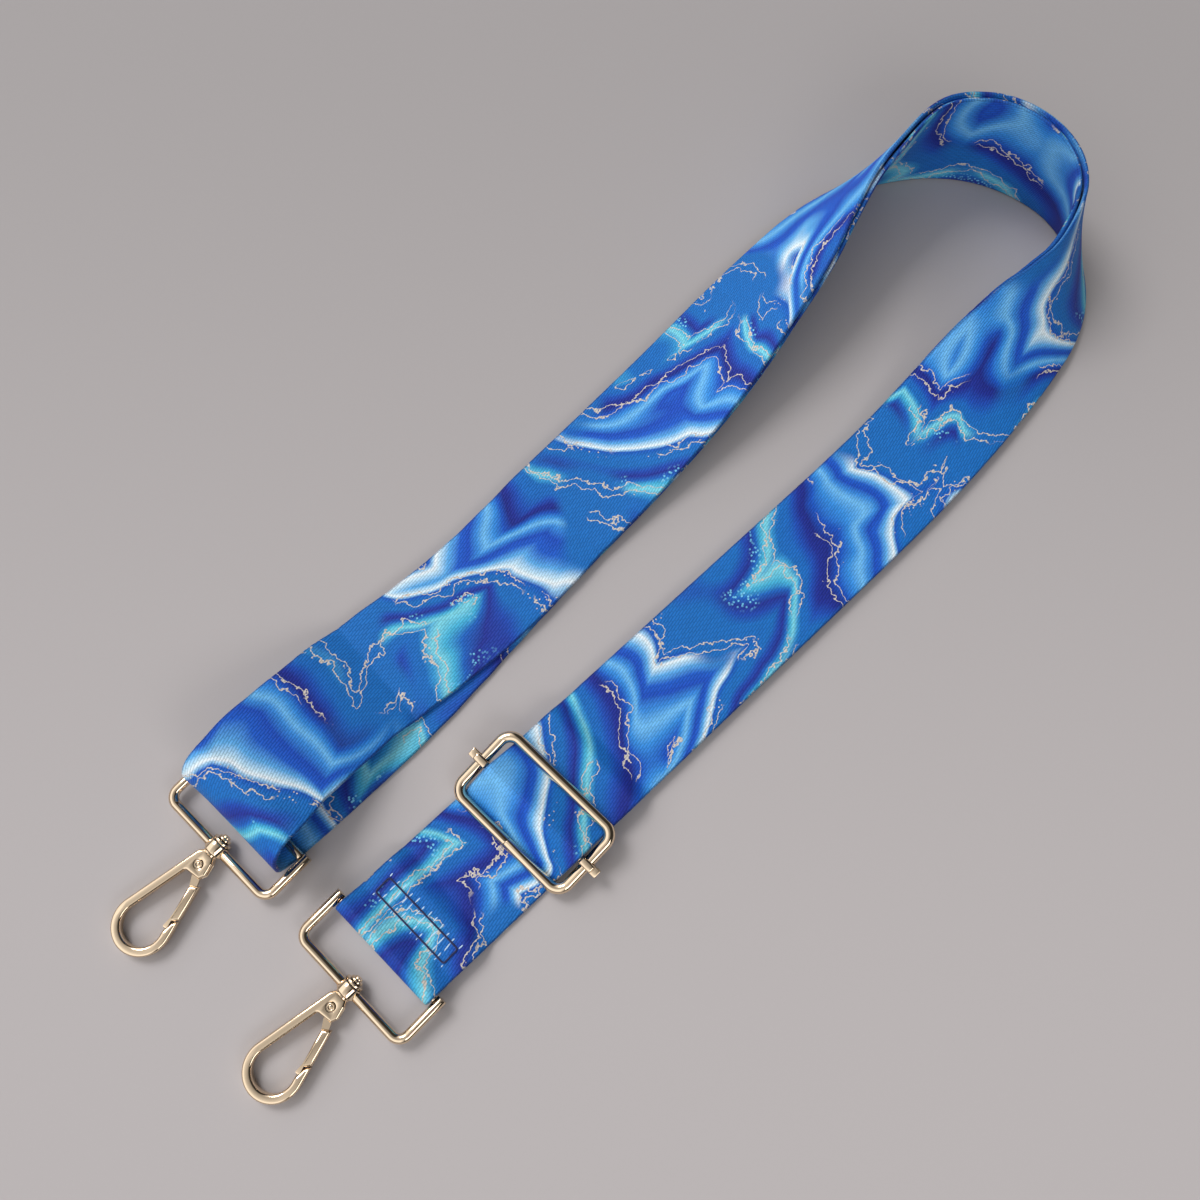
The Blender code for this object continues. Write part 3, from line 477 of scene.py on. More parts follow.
def buildPrintGroup():  # agate bands with veins, over the webbing's own length and width
    levelGroup = buildLevelGroup()
    inputs = {"Vector": None, "Tile": agate["tile"], "Vein Width": 0.01}
    outputs = {"Color": "Color", "Vein": "Float"}
    group, given, made, calc, ease, cloud = newGroup("agatePrint", inputs, outputs)
    tiles = addNode(group, "CombineXYZ", (given["Tile"], given["Tile"], 1.0))[0]
    place = addVector(group, "DIVIDE", given["Vector"], tiles)
    reach = agate["slopeReach"]
    level, ahead, beside = (
        useGroup(group, levelGroup, (addMoved(group, place, *move),))["Level"]
        for move in ((0, 0), (reach, 0), (0, reach))
    )
    rises = [calc("SUBTRACT", value, level) for value in (ahead, beside)]
    squares = [calc("MULTIPLY", value, value) for value in rises]
    slope = calc("DIVIDE", calc("SQRT", calc("ADD", *squares)), reach)
    least, most = agate["slopes"]
    slope = calc("MINIMUM", calc("MAXIMUM", slope, least), most)
    stops = [(stop, linearColor(*color)) for stop, color in agate["stops"]]
    bands = addRamp(group, calc("FRACT", level), stops)
    scale, fading = agate["calm"]
    calm = ease(cloud(place, scale)["Fac"], *fading)
    bands = addMix(group, calm, bands, agate["plain"])
    lively = calc("SUBTRACT", 1.0, calm)

    def nearLevel(field, center):  # distance in levels from the nearest line at this level
        turned = calc("FRACT", calc("SUBTRACT", field, center - 0.5))
        return calc("ABSOLUTE", calc("SUBTRACT", turned, 0.5))

    def addDots(scale, sizes, center, near, clumpScale, clumps):
        inputs = {"Vector": place, "Scale": scale}
        dots = addNode(group, "TexVoronoi", inputs, voronoi_dimensions="2D")["Distance"]
        near = ease(nearLevel(level, center), *near)
        clumps = ease(cloud(place, clumpScale, 2.0)["Fac"], *clumps)
        return calc("MULTIPLY", calc("MULTIPLY", ease(dots, *sizes), calc("MULTIPLY", near, clumps)), lively)

    veins = []
    scale, fade = agate["veinShown"]
    strandShift, levelShift, *hidingShift = agate["veinShifts"]
    for index, (center, presence) in enumerate(agate["veinLevels"]):
        shown = cloud(addMoved(group, place, *(shift * index for shift in hidingShift)), scale)["Fac"]
        shown = ease(shown, presence - fade, presence + fade)
        for strand in range(2):
            jagged = addMoved(group, place, strandShift * strand, levelShift * index)
            fine = cloud(jagged, *agate["veinNoise"])["Fac"]
            parting = agate["veinParting"] * (2 * strand - 1)
            pull = calc("MULTIPLY_ADD", calc("SUBTRACT", fine, 0.5), agate["veinWiggle"], parting)
            gap = nearLevel(calc("MULTIPLY_ADD", pull, slope, level), center)
            width = calc("MULTIPLY", given["Vein Width"], slope)
            veins.append(calc("MULTIPLY", ease(gap, width, calc("MULTIPLY", width, 0.5)), shown))
    veins = reduce(partial(calc, "MAXIMUM"), [*veins, addDots(*agate["specks"])])
    colored = addMix(group, addDots(*agate["drops"]), bands, agate["drop"])
    setInputs(group, made, {"Color": addMix(group, veins, colored, agate["vein"]), "Vein": veins})
    return group


weave = {
    "rowShift": 0.38,  # of a float, from each row to the next
    "ribSharpness": 2.0,
    "floatSharpness": 9.0,
    "brightest": 1.05,  # shade on the crowns of the yarn
    "crownPolish": 0.10,  # how much smoother the crowns are
    "specular": 0.22,
    "sheenRoughness": 0.4,
    "bump": (0.9, 0.00012),  # strength and depth, here and below
}


def buildWeaveGroup():  # diagonal ribs made of short floats of yarn
    inputs = {"Vector": None, "Angle": 0.0, "Pitch": 0.0008, "Float Length": 0.0012}
    group, given, made, calc, *_ = newGroup("twillWeave", inputs, {"Height": "Float", "Yarn": "Float"})
    inputs = {"Vector": given["Vector"], "Angle": given["Angle"]}
    turned = addNode(group, "VectorRotate", inputs, rotation_type="Z_AXIS")[0]
    parts = addNode(group, "SeparateXYZ", (turned,))
    across = calc("DIVIDE", parts["Y"], given["Pitch"])
    row = calc("FLOOR", across)
    along = calc("DIVIDE", parts["X"], given["Float Length"])
    along = calc("MULTIPLY_ADD", row, weave["rowShift"], along)
    heights = []
    for value, power in ((across, weave["ribSharpness"]), (along, weave["floatSharpness"])):
        centered = calc("SUBTRACT", calc("FRACT", value), 0.5)
        doubled = calc("ABSOLUTE", calc("MULTIPLY", centered, 2.0))
        heights.append(calc("SUBTRACT", 1.0, calc("POWER", doubled, power)))
    cell = addNode(group, "CombineXYZ", (row, calc("FLOOR", along)))[0]
    yarn = addNode(group, "TexWhiteNoise", {"Vector": cell}, noise_dimensions="2D")["Value"]
    setInputs(group, made, {"Height": calc("MULTIPLY", *heights), "Yarn": yarn})
    return group


rubbing = {
    "haze": (160.0, 3.0, 0.6),
    "stretch": (900.0, 5200.0, 5200.0),  # the marks run along X
    "marks": (1.0, 3.0, 0.7),
    "shown": (0.62, 0.78),
    "roughens": 0.12,
    "darkens": 0.12,
    "bump": (0.04, 0.00002),
    "paintedShadeOpenness": (0.25, 0.75),  # painted shade: from full to none, by how open the place is
    # colour of the painted shade, as this share of the metal's colour squared
    "paintedShadeLevel": 0.12,
}


def buildPolishGroup():  # fine rubbing marks and a faint haze on polished metal
    inputs = {"Vector": None, "Haze": 0.05, "Marks": 0.3}
    outputs = {"Roughness": "Float", "Tone": "Float", "Height": "Float"}
    group, given, made, calc, ease, cloud = newGroup("rubbedPolish", inputs, outputs)
    haze = cloud(given["Vector"], *rubbing["haze"], "3D")["Fac"]
    stretched = addVector(group, "MULTIPLY", given["Vector"], rubbing["stretch"])
    marks = cloud(stretched, *rubbing["marks"], "3D")["Fac"]
    worn = calc("MULTIPLY", ease(marks, *rubbing["shown"]), given["Marks"])
    rough = calc("MULTIPLY_ADD", haze, given["Haze"], calc("MULTIPLY", worn, rubbing["roughens"]))
    tone = calc("MULTIPLY_ADD", worn, -rubbing["darkens"], 1.0)
    setInputs(group, made, {"Roughness": rough, "Tone": tone, "Height": calc("ADD", haze, worn)})
    return group


printGroup = buildPrintGroup()
weaveGroup = buildWeaveGroup()
polishGroup = buildPolishGroup()


def newMaterial(name):
    material = bpy.data.materials.new(name)
    material.use_nodes = True
    return material, material.node_tree


def shaded(material, inputs):  # with these inputs of its shader
    setInputs(material.node_tree, material.node_tree.nodes["Principled BSDF"], inputs)
    return material


def addBump(tree, height, strength, distance):
    return addNode(tree, "Bump", {"Height": height, "Strength": strength, "Distance": distance})["Normal"]


def makeWebbingMaterial(name, values):
    material, tree = newMaterial(name)
    place = addNode(tree, "UVMap", uv_map="strapPlace")["UV"]
    printed = useGroup(tree, printGroup, (place, agate["tile"], agate["veinWidth"]))
    woven = useGroup(tree, weaveGroup, (place, values["angle"], values["pitch"], values["floatLength"]))
    darkest = weave["brightest"] - values["gapShade"]
    shade = addMath(tree, "MULTIPLY_ADD", woven["Height"], values["gapShade"], darkest)
    shade = addMath(tree, "MULTIPLY_ADD", woven["Yarn"], values["yarnShade"], shade)
    color = addMix(tree, 1.0, printed["Color"], addGray(tree, shade), "MULTIPLY")
    if values["dark"]:
        color = addMix(tree, values["dark"], color, darkDye)
    rough = addMath(tree, "MULTIPLY_ADD", woven["Height"], -weave["crownPolish"], values["roughness"])
    inputs = {
        "Base Color": color,
        "Roughness": rough,
        "Specular IOR Level": weave["specular"],
        "Sheen Weight": values["sheen"],
        "Sheen Roughness": weave["sheenRoughness"],
        "Normal": addBump(tree, woven["Height"], *weave["bump"]),
    }
    return shaded(material, inputs)


darkDye = linearColor(16, 40, 92)
faceWeave = {
    "angle": math.radians(-12),
    "pitch": 0.00078,
    "floatLength": 0.0021,
    "gapShade": 0.36,
    "yarnShade": 0.10,
    "dark": 0.0,  # share of the edge's dark dye
    "roughness": 0.68,
    "sheen": 0.04,
}
selvedgeWeave = {
    "angle": math.radians(90),
    "pitch": 0.0009,
    "floatLength": 0.0007,
    "gapShade": 0.45,
    "yarnShade": 0.16,
    "dark": 0.45,
    "roughness": 0.78,
    "sheen": 0.1,
}
goldFinish = {
    "color": linearColor(233, 209, 179),
    "roughness": 0.035,
    "haze": 0.04,
    "marks": 0.25,
    "paintedShadeReach": 0.0005,  # painted shade darkens gaps narrower than about this
}
springFinish = {
    "color": (0.55, 0.55, 0.57, 1.0),
    "roughness": 0.28,
    "haze": 0.1,
    "marks": 0.5,
    "paintedShadeReach": 0.0003,
}


def makeMetalMaterial(name, values):
    material, tree = newMaterial(name)
    place = addNode(tree, "TexCoord")["Object"]
    worn = useGroup(tree, polishGroup, (place, values["haze"], values["marks"]))
    # Painted shade: ambient occlusion darkens the colour in crevices, recesses and between parts
    paintedShadeOpenness = addNode(tree, "AmbientOcclusion", {"Distance": values["paintedShadeReach"]}, samples=8)["AO"]
    paintedShadeColor = (*(rubbing["paintedShadeLevel"] * value**2 for value in values["color"][:3]), 1.0)
    colorWithPaintedShade = addMix(tree, addRange(tree, paintedShadeOpenness, *rubbing["paintedShadeOpenness"]), paintedShadeColor, values["color"])
    inputs = {
        "Base Color": addMix(tree, 1.0, colorWithPaintedShade, addGray(tree, worn["Tone"]), "MULTIPLY"),
        "Roughness": addMath(tree, "ADD", worn["Roughness"], values["roughness"]),
        "Metallic": 1.0,
        "Normal": addBump(tree, worn["Height"], *rubbing["bump"]),
    }
    return shaded(material, inputs)


yarn = {
    "ply": (900.0, 1.5, 1.0),  # scale, distortion and detail of its twist
    "fuzz": (4000.0, 2.0, 0.6),
    "brightens": (1.9, 0.01),  # factor and addition, where a ply shows
    "bump": (0.5, 0.00006),
    "roughness": 0.72,
    "sheen": 0.2,
}


def makeThreadMaterial(name, color):
    material, tree = newMaterial(name)
    place = addNode(tree, "TexCoord")["Object"]
    wave = addNode(tree, "TexWave", (place, *yarn["ply"]))["Fac"]
    fuzz = addNoise(tree, place, *yarn["fuzz"], "3D")["Fac"]
    factor, addition = yarn["brightens"]
    light = tuple(min(1.0, value * factor + addition) for value in color)
    tone = addMath(tree, "MULTIPLY", wave, fuzz)
    inputs = {
        "Base Color": addMix(tree, tone, color, light),
        "Roughness": yarn["roughness"],
        "Sheen Weight": yarn["sheen"],
        "Normal": addBump(tree, tone, *yarn["bump"]),
    }
    return shaded(material, inputs)


faceMaterial = makeWebbingMaterial("printedWebbing", faceWeave)
selvedgeMaterial = makeWebbingMaterial("webbingSelvedge", selvedgeWeave)
goldMaterial = makeMetalMaterial("champagneGold", goldFinish)
springMaterial = makeMetalMaterial("springSteel", springFinish)
threadMaterial = makeThreadMaterial("navyThread", linearColor(10, 20, 70))
yarnMaterial = makeThreadMaterial("undyedYarn", linearColor(172, 202, 236))
print("materials made")


def arcPoints(center, radius, start, end, step=arcStep):
    count = max(2, math.ceil(abs(end - start) / step) + 1)
    angles = [start + (end - start) * index / (count - 1) for index in range(count)]
    return [(center[0] + radius * math.cos(a), center[1] + radius * math.sin(a)) for a in angles]


def headingBetween(first, second):  # of the straight stretch between two turns (x, y, radius, side)
    across, along = second[1] - first[1], second[0] - first[0]
    lean = (second[3] * second[2] - first[3] * first[2]) / math.hypot(along, across)
    return math.atan2(across, along) - math.asin(lean)


def beltPoints(turns):  # straight between the turns and round each of them, like a belt
    headings = [headingBetween(first, second) for first, second in zip(turns, turns[1:])]
    points = [(turns[0][0], turns[0][1])]
    for turn, arriving, leaving in zip(turns[1:-1], headings, headings[1:]):
        x, y, radius, side = turn
        swing = (leaving - arriving) * side % (2 * math.pi) * side
        start = arriving - side * math.pi / 2
        points += arcPoints((x, y), radius, start, start + swing)
    return points + [(turns[-1][0], turns[-1][1])]


def softCorner(x, height, above, going=1):
    return (x, height + above * webbing["softRadius"], webbing["softRadius"], above * going)


def endPoint(x, height):
    return (x, height, 0.0, 1)


def smoothRows(rows, steps):
    rows = [Vector(row) for row in rows]
    padded = [rows[0] * 2 - rows[1], *rows, rows[-1] * 2 - rows[-2]]
    smooth = []
    for before, start, end, after in zip(padded, padded[1:], padded[2:], padded[3:]):
        for step in range(steps):
            share = step / steps
            pullStart, pullEnd = (end - before) / 2, (after - start) / 2
            smooth.append(
                start * (2 * share**3 - 3 * share**2 + 1)
                + pullStart * (share**3 - 2 * share**2 + share)
                + end * (3 * share**2 - 2 * share**3)
                + pullEnd * (share**3 - share**2)
            )
    return smooth + [rows[-1]]


def shareAt(shares, place):
    place = min(max(place, 0.0), 1.0) * (len(shares) - 1)
    index = min(int(place), len(shares) - 2)
    step = place - index
    eased = (step * step * (3 - 2 * step) + step) / 2
    return shares[index] + (shares[index + 1] - shares[index]) * eased


def pathLengths(points):
    lengths = [0.0]
    for first, second in zip(points, points[1:]):
        lengths.append(lengths[-1] + math.dist(first, second))
    return lengths


def divided(points, longest):
    result = [points[0]]
    for first, second in zip(points, points[1:]):
        count = max(1, math.ceil(math.dist(first, second) / longest))
        for index in range(1, count + 1):
            share = index / count
            result.append(tuple(a + (b - a) * share for a, b in zip(first, second)))
    return result


def yawAt(x, fittingX, yaw, reach):
    share = min(max((reach + layout["yawFade"] - abs(x - fittingX)) / layout["yawFade"], 0.0), 1.0)
    return yaw * share * share * (3 - 2 * share)


def sideAt(place, sides):  # on the left branch with its shares, or else on the right branch
    return ring1Y + (leftY - ring1Y) * shareAt(sides, place) if sides else rightY


def pathStations(turns, fitting=(0, 0, 0), sides=None):  # each a centre and the direction across the webbing
    points = divided(beltPoints(turns), webbing["stationStep"])
    lengths = pathLengths(points)
    centers = [Vector((x, sideAt(length / lengths[-1], sides), z)) for (x, z), length in zip(points, lengths)]
    stations = []
    last = len(centers) - 1
    for index, center in enumerate(centers):
        along = centers[min(index + 1, last)] - centers[max(index - 1, 0)]
        if index in (0, last):
            along.y = 0
        along.normalize()
        yaw = yawAt(center.x, *fitting)
        across = Vector((-math.sin(yaw), math.cos(yaw), 0)) - along * along.y
        stations.append((center, across.normalized()))
    return stations


def bendStations(layer):  # layer 0 lies under layer 1, and inside it where they stand
    rows = smoothRows(bendEdge, 10)
    edge = [Vector((row.x * layout["bendReach"], row.y * layout["halfSpan"], 0)) for row in rows]
    headings = [(after - before).normalized() for before, after in zip(edge, edge[2:])]
    headings = [Vector((1, 0, 0)), *headings, Vector((-1, 0, 0))]
    stations = []
    for point, row, along in zip(edge, rows, headings):
        inward = Vector((-along.y, along.x, 0))
        roll = row.z * math.pi / 2
        across = inward * math.cos(roll) + Vector((0, 0, math.sin(roll)))
        outward = Vector((0, 0, math.cos(roll))) - inward * math.sin(roll)
        gap = webbing["layerGap"] + (webbing["standingGap"] - webbing["layerGap"]) * math.sin(roll) ** 2
        depth = halfThick + layer * (webbing["thickness"] + gap)
        stations.append((point + across * webbing["width"] / 2 + outward * depth, across))
    return stations


def flipped(stations):  # the same face of the webbing stays up after the bend
    return [(center, -across) for center, across in stations]


def partedAt(stations, isPast):  # two pieces that share the station where they meet
    index = next(place for place, (center, _) in enumerate(stations) if isPast(center))
    return stations[: index + 1], stations[index:]


# The webbing's runs as turns (x, height, radius, side), from one sewn end to the other
foldTurns = [
    endPoint(hookTailX, foldLow),
    (hook2X, barHeight, ring["bar"] + barWrap, -1),
    softCorner(hook2X + stitchStart, foldHigh, 1),
    softCorner(hookTailX, foldHigh, -1),
    softCorner(hookTailX + sewing["ramp"], lowLayer, 1),
    endPoint(hook2X + hookSewnReach, lowLayer),
]
singleTurns = [foldTurns[-1], endPoint(hook2X + hookSewnReach + layout["singleRun"], lowLayer)]
humpTurns = [
    endPoint(sliderX - humpReach, lowLayer),
    (sliderX - wireReach, nearWireHeight, wireWrap, 1),
    (sliderX, sliderHeight, slider["bar"] + 2 * webbing["layerGap"] + 1.5 * webbing["thickness"], -1),
    (sliderX + wireReach, farWireHeight, wireWrap, 1),
    endPoint(sliderX + humpReach, coveredLayer),
]
topRightTurns = [
    humpTurns[-1],
    softCorner(sliderTailX, coveredLayer, -1),
    softCorner(sliderTailX + sewing["ramp"], highLayer, 1),
    endPoint(bendStartX, highLayer),
]
leftTurns = [
    endPoint(bendEndX, highLayer),
    softCorner(hook1X + loop["riseBack"], highLayer, 1, -1),
    (hook1X + loop["crestAhead"], loop["height"] - halfThick - loop["crestRadius"], loop["crestRadius"], 1),
    (hook1X - loop["frontBack"], foldLow + loop["frontRadius"], loop["frontRadius"], 1),
    softCorner(hook1X + loop["underLength"] - webbing["softRadius"], lowLayer, 1),
    endPoint(hook1X + loop["underLength"], lowLayer),
]
underLeftTurns = [endPoint(bendEndX, lowLayer), leftTurns[-1]]
underRightTurns = [endPoint(bendStartX, lowLayer), endPoint(sliderX + sliderSewnReach, lowLayer)]
sewnTurns = [
    underRightTurns[-1],
    softCorner(sliderTailX + sewing["ramp"], lowLayer, 1, -1),
    softCorner(sliderTailX, sewnLow, -1, -1),
    softCorner(sliderX + stitchStart, sewnLow, 1, -1),
    (sliderX, sliderHeight, slider["bar"] + barWrap, -1),
    softCorner(sliderX + stitchStart, sewnHigh, 1),
    endPoint(sliderTailX, sewnHigh),
]


def strapPieces():  # in the order of the webbing's own length
    sliderFitting = (sliderX, layout["sliderYaw"], wireReach + wireWrap)
    overNear, overFar = partedAt(pathStations(humpTurns, sliderFitting), lambda center: center.x >= sliderX)
    left = pathStations(leftTurns, (hook1X, layout["hook1Yaw"], loop["squareReach"]), loop["topSides"])
    topLeft, loopRun = partedAt(left, lambda center: center.x < hook1X + loop["riseBack"])
    return {
        "hook_2_fold": pathStations(foldTurns, (hook2X, layout["hook2Yaw"], sewing["fromBar"])),
        "single_run": pathStations(singleTurns),
        "over_bar_near": overNear,
        "over_bar_far": overFar,
        "top_right": pathStations(topRightTurns),
        "bend_outer": bendStations(1),
        "top_left": flipped(topLeft),
        "hook_1_loop": flipped(loopRun),
        "under_left": flipped(pathStations(underLeftTurns, sides=loop["underSides"]))[::-1],
        "bend_inner": bendStations(0)[::-1],
        "under_right": pathStations(underRightTurns),
        "sewn_end": pathStations(sewnTurns, sliderFitting),
    }


# Points round the webbing: place across, height, and the kind of the stretch that starts there
def webbingSection():
    flat = webbing["width"] / 2 - webbing["edgeRound"]
    count, rim = webbing["pointsAcross"], webbing["edgePoints"]
    section = [(-flat + 2 * flat * index / count, halfThick, "face") for index in range(count)]
    for index in range(rim):
        angle = math.pi / 2 - math.pi * index / rim
        section.append((flat + webbing["edgeRound"] * math.cos(angle), halfThick * math.sin(angle), "rim"))
    return section + [(-y, -z, kind if kind == "rim" else "back") for y, z, kind in section]


def addObject(name, mesh):
    obj = bpy.data.objects.new(name, mesh)
    bpy.context.scene.collection.objects.link(obj)
    return obj


def written(shape, mesh):
    shape.to_mesh(mesh)
    shape.free()
    return mesh


def makeStrapPiece(name, stations, startLength):
    section = webbingSection()
    count = len(section)
    centers = [center for center, _ in stations]
    lengths = pathLengths(centers)
    last = len(centers) - 1
    shape = bmesh.new()
    corners = []
    for index, (center, across) in enumerate(stations):
        along = (centers[min(index + 1, last)] - centers[max(index - 1, 0)]).normalized()
        outward = along.cross(across).normalized()
        length = (startLength + lengths[index]) / webbing["edgeWavePitch"]
        for y, z, kind in section:
            side = 1 if y > 0 else -1
            wave = noise.noise((length, side * 9.1, 0)) * webbing["edgeWave"]
            steady = webbing["steadyShare"]
            reach = max(0.0, abs(y) / (webbing["width"] / 2) - steady) / (1 - steady)
            point = origin + center + across * (y + side * wave * reach) + outward * z
            corners.append(shape.verts.new(point))
    places = shape.loops.layers.uv.new("strapPlace")
    for index in range(last):
        for spot, (_, height, kind) in enumerate(section):
            after = (spot + 1) % count
            around = ((0, spot), (0, after), (1, after), (1, spot))
            quad = shape.faces.new([corners[(index + row) * count + column] for row, column in around])
            quad.material_index = int(kind == "rim")
            quad.smooth = True
            shift = webbing["backShift"] if kind == "back" or (kind == "rim" and height <= 0) else 0.0
            for corner, (row, column) in zip(quad.loops, around):
                corner[places].uv = (startLength + lengths[index + row] + shift, section[column][0])
    for row in (range(count), range(last * count, (last + 1) * count)):
        cap = shape.faces.new([corners[index] for index in row])
        cap.material_index = 1
        for corner in cap.loops:
            corner[places].uv = (startLength, 0.0)
    bmesh.ops.recalc_face_normals(shape, faces=shape.faces)
    mesh = written(shape, bpy.data.meshes.new(name))
    mesh.set_sharp_from_angle(angle=webbing["sharpEdge"])
    mesh.materials.append(faceMaterial)
    mesh.materials.append(selvedgeMaterial)
    return addObject(name, mesh), lengths[-1]


# The bodies on either side of a piece of webbing, and the places between them, from the first to the second
foldBend = ("webbing", "slider_frame", hookTailX + sewing["stiffPastTail"], sliderX - humpReach)
barBend = ("slider_bar", "slider_frame", sliderX, sliderX + wireReach)
strapBends = {
    "hook_2_fold": foldBend,
    "single_run": foldBend,
    "over_bar_near": ("slider_frame", "slider_bar", sliderX - wireReach, sliderX),
    "over_bar_far": barBend,
    "sewn_end": barBend,
    "top_right": ("slider_frame", "webbing", sliderX + humpReach, bendStartX),
    "under_right": ("slider_frame", "webbing", sliderX + sliderSewnReach, bendStartX),
}


def moveWith(piece, first, second=None, start=None, end=None):  # follows one body; given a second body, it stays where it lies, and the places in between are not used
    if second:
        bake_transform(piece)
    else:
        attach(piece, first)


def bentBetween(first, second, *places):  # with its places as points over the right branch
    return (first, second, *((origin.x + x, origin.y + rightY, 0.0) for x in places))


def makeStrap():
    place = 0.0
    for part, stations in strapPieces().items():
        piece, length = makeStrapPiece(f"strap_{part}", stations, place)
        place += length
        moveWith(piece, *(bentBetween(*strapBends[part]) if part in strapBends else ["webbing"]))
        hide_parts("webbing_over_bar" if part.startswith("over_bar") else f"webbing_{part}")
    print(f"webbing made, {place:.3f} m from end to end")


makeStrap()


def evaluatedMesh(obj):
    bpy.context.view_layer.update()
    mesh = bpy.data.meshes.new_from_object(obj.evaluated_get(bpy.context.evaluated_depsgraph_get()))
    data = obj.data
    bpy.data.objects.remove(obj, do_unlink=True)
    if isinstance(data, bpy.types.Curve):
        bpy.data.curves.remove(data)
    shape = bmesh.new()
    shape.from_mesh(mesh)
    return closed(shape, mesh)


def closed(shape, mesh):
    bmesh.ops.remove_doubles(shape, verts=shape.verts, dist=0.0000008)
    bmesh.ops.recalc_face_normals(shape, faces=shape.faces)
    return written(shape, mesh)


def curveMesh(points, isLoop, **settings):
    curve = setAll(bpy.data.curves.new("path", "CURVE"), settings)
    spline = curve.splines.new("POLY")
    spline.points.add(len(points) - 1)
    for place, point in zip(spline.points, points):
        place.co = (*point, 1.0)
    spline.use_cyclic_u = isLoop
    return evaluatedMesh(addObject("path", curve))


def wireMesh(points, radius, isLoop=False, sides=5, endRound=0.0):
    mesh = curveMesh(
        points, isLoop, dimensions="3D", bevel_depth=radius, bevel_resolution=sides, use_fill_caps=not isLoop
    )
    return softened(mesh, endRound, 60) if endRound else mesh


def softened(mesh, width, angle=30, segments=2):
    obj = addObject("softened", mesh)
    size = {"width": width, "segments": segments}
    limit = {"limit_method": "ANGLE", "angle_limit": math.radians(angle)}
    setAll(obj.modifiers.new("edges", "BEVEL"), size | limit)
    return evaluatedMesh(obj)


def plateMesh(outline, thickness, rounding=0.0):
    extrude, points = thickness / 2 - rounding, [(x, y, 0.0) for x, y in outline]
    bevel = {"extrude": extrude, "bevel_depth": rounding, "bevel_resolution": 3, "offset": -rounding}
    return curveMesh(points, True, dimensions="2D", fill_mode="BOTH", **bevel)


def mirrored(half):  # a profile with its other half
    return [*half, *((radius, -place) for radius, place in reversed(half))]


def turnedMesh(profile, axis="Z", steps=48):  # profile of (radius, place along the axis), from its top down
    shape = bmesh.new()
    rings = []
    for radius, height in profile:
        angles = [2 * math.pi * step / steps for step in range(steps)]
        ringPoints = [(radius * math.cos(a), radius * math.sin(a), height) for a in angles]
        rings.append([shape.verts.new(point) for point in (ringPoints if radius else ringPoints[:1])])
    for upper, lower in zip(rings, rings[1:]):
        for step in range(steps):
            after = (step + 1) % steps
            corners = [upper[step % len(upper)], lower[step % len(lower)]]
            corners += [lower[after]] if len(lower) > 1 else []
            corners += [upper[after]] if len(upper) > 1 else []
            shape.faces.new(corners)
    mesh = closed(shape, bpy.data.meshes.new("turned"))
    turns = {"Z": (0, 0, 0), "X": (0, math.pi / 2, 0), "Y": (math.pi / 2, 0, 0)}
    mesh.transform(Euler(turns[axis]).to_matrix().to_4x4())
    return mesh


def roundedRim(radius, half, rounding):
    return arcPoints((radius - rounding, half - rounding), rounding, math.pi / 2, 0, math.radians(22.5))


def rodMesh(radius, length, axis="Z", rounding=0.0):
    rim = roundedRim(radius, length / 2, rounding) if rounding else [(radius, length / 2)]
    return turnedMesh(mirrored([(0, length / 2), *rim]), axis)


def sleeveMesh(radius, bore, length, axis, rounding):
    lip = (bore + rounding / 2, length / 2 - rounding / 2)
    half = arcPoints(lip, rounding / 2, math.pi, math.pi / 2, math.radians(30))
    half += roundedRim(radius, length / 2, rounding)
    return turnedMesh([*mirrored(half), half[0]], axis)


def boxMesh(size, center, rounding):
    shape = bmesh.new()
    bmesh.ops.create_cube(shape, size=1.0)
    bmesh.ops.scale(shape, vec=size, verts=shape.verts)
    bmesh.ops.translate(shape, vec=center, verts=shape.verts)
    return softened(written(shape, bpy.data.meshes.new("block")), rounding, 30, 3)


def movedMesh(mesh, x, y=0, z=0):
    mesh.transform(Matrix.Translation((x, y, z)))
    return mesh


def cutMesh(mesh, cutters):
    base = addObject("base", mesh)
    helpers = [addObject("cutter", cutter) for cutter in cutters]
    for helper in helpers:
        setAll(base.modifiers.new("cut", "BOOLEAN"), {"operation": "DIFFERENCE", "object": helper})
    result = evaluatedMesh(base)
    for helper in helpers:
        bpy.data.objects.remove(helper, do_unlink=True)
    return result


def placed(name, meshes, material, matrix, motion, slotName, *nodes):  # one piece from closed meshes
    shape = bmesh.new()
    for mesh in meshes:
        shape.from_mesh(mesh)
    mesh = written(shape, bpy.data.meshes.new(name))
    mesh.transform(matrix)
    mesh.shade_smooth()
    mesh.set_sharp_from_angle(angle=metalSharpEdge)
    mesh.materials.clear()
    mesh.materials.append(material)
    obj = addObject(name, mesh)
    moveWith(obj, *motion)
    if nodes:
        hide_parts(*nodes)


def placedGold(name, meshes, matrix, body, node):
    placed(name, meshes, goldMaterial, matrix, [body], "champagne_gold", node)


def makeRing(number, pivot):
    side, corner, depth = ringHalf, ring["corner"], ring["depth"]
    half = [(-ring["overshoot"], side)] + arcPoints((depth - corner, side - corner), corner, math.pi / 2, 0)
    half.append((depth, ring["barrelRadius"] - ring["legInBarrel"]))
    meshes = []
    for sign in (1, -1):
        points = [(x, y * sign, 0) for x, y in half]
        meshes.append(wireMesh(points, ring["wire"], endRound=ring["endRound"]))
    barrel = sleeveMesh(ring["barrelRadius"], ring["bore"], ring["barrelLength"], "X", ring["barrelRound"])
    meshes.append(movedMesh(barrel, depth))
    name, body = f"hook_{number}", f"ring_{number}"
    placedGold(f"{name}_ring_wire", meshes, pivot, body, f"{name}_ring")
    bar = rodMesh(ring["bar"], 2 * (ringHalf - ring["wire"] - ring["barEndGap"]), "Y", ring["barRound"])
    placedGold(f"{name}_cross_bar", [bar], pivot, body, f"{name}_ring_bar")


bowCenter = (hook["bowFromBarrel"], hook["bowSide"])


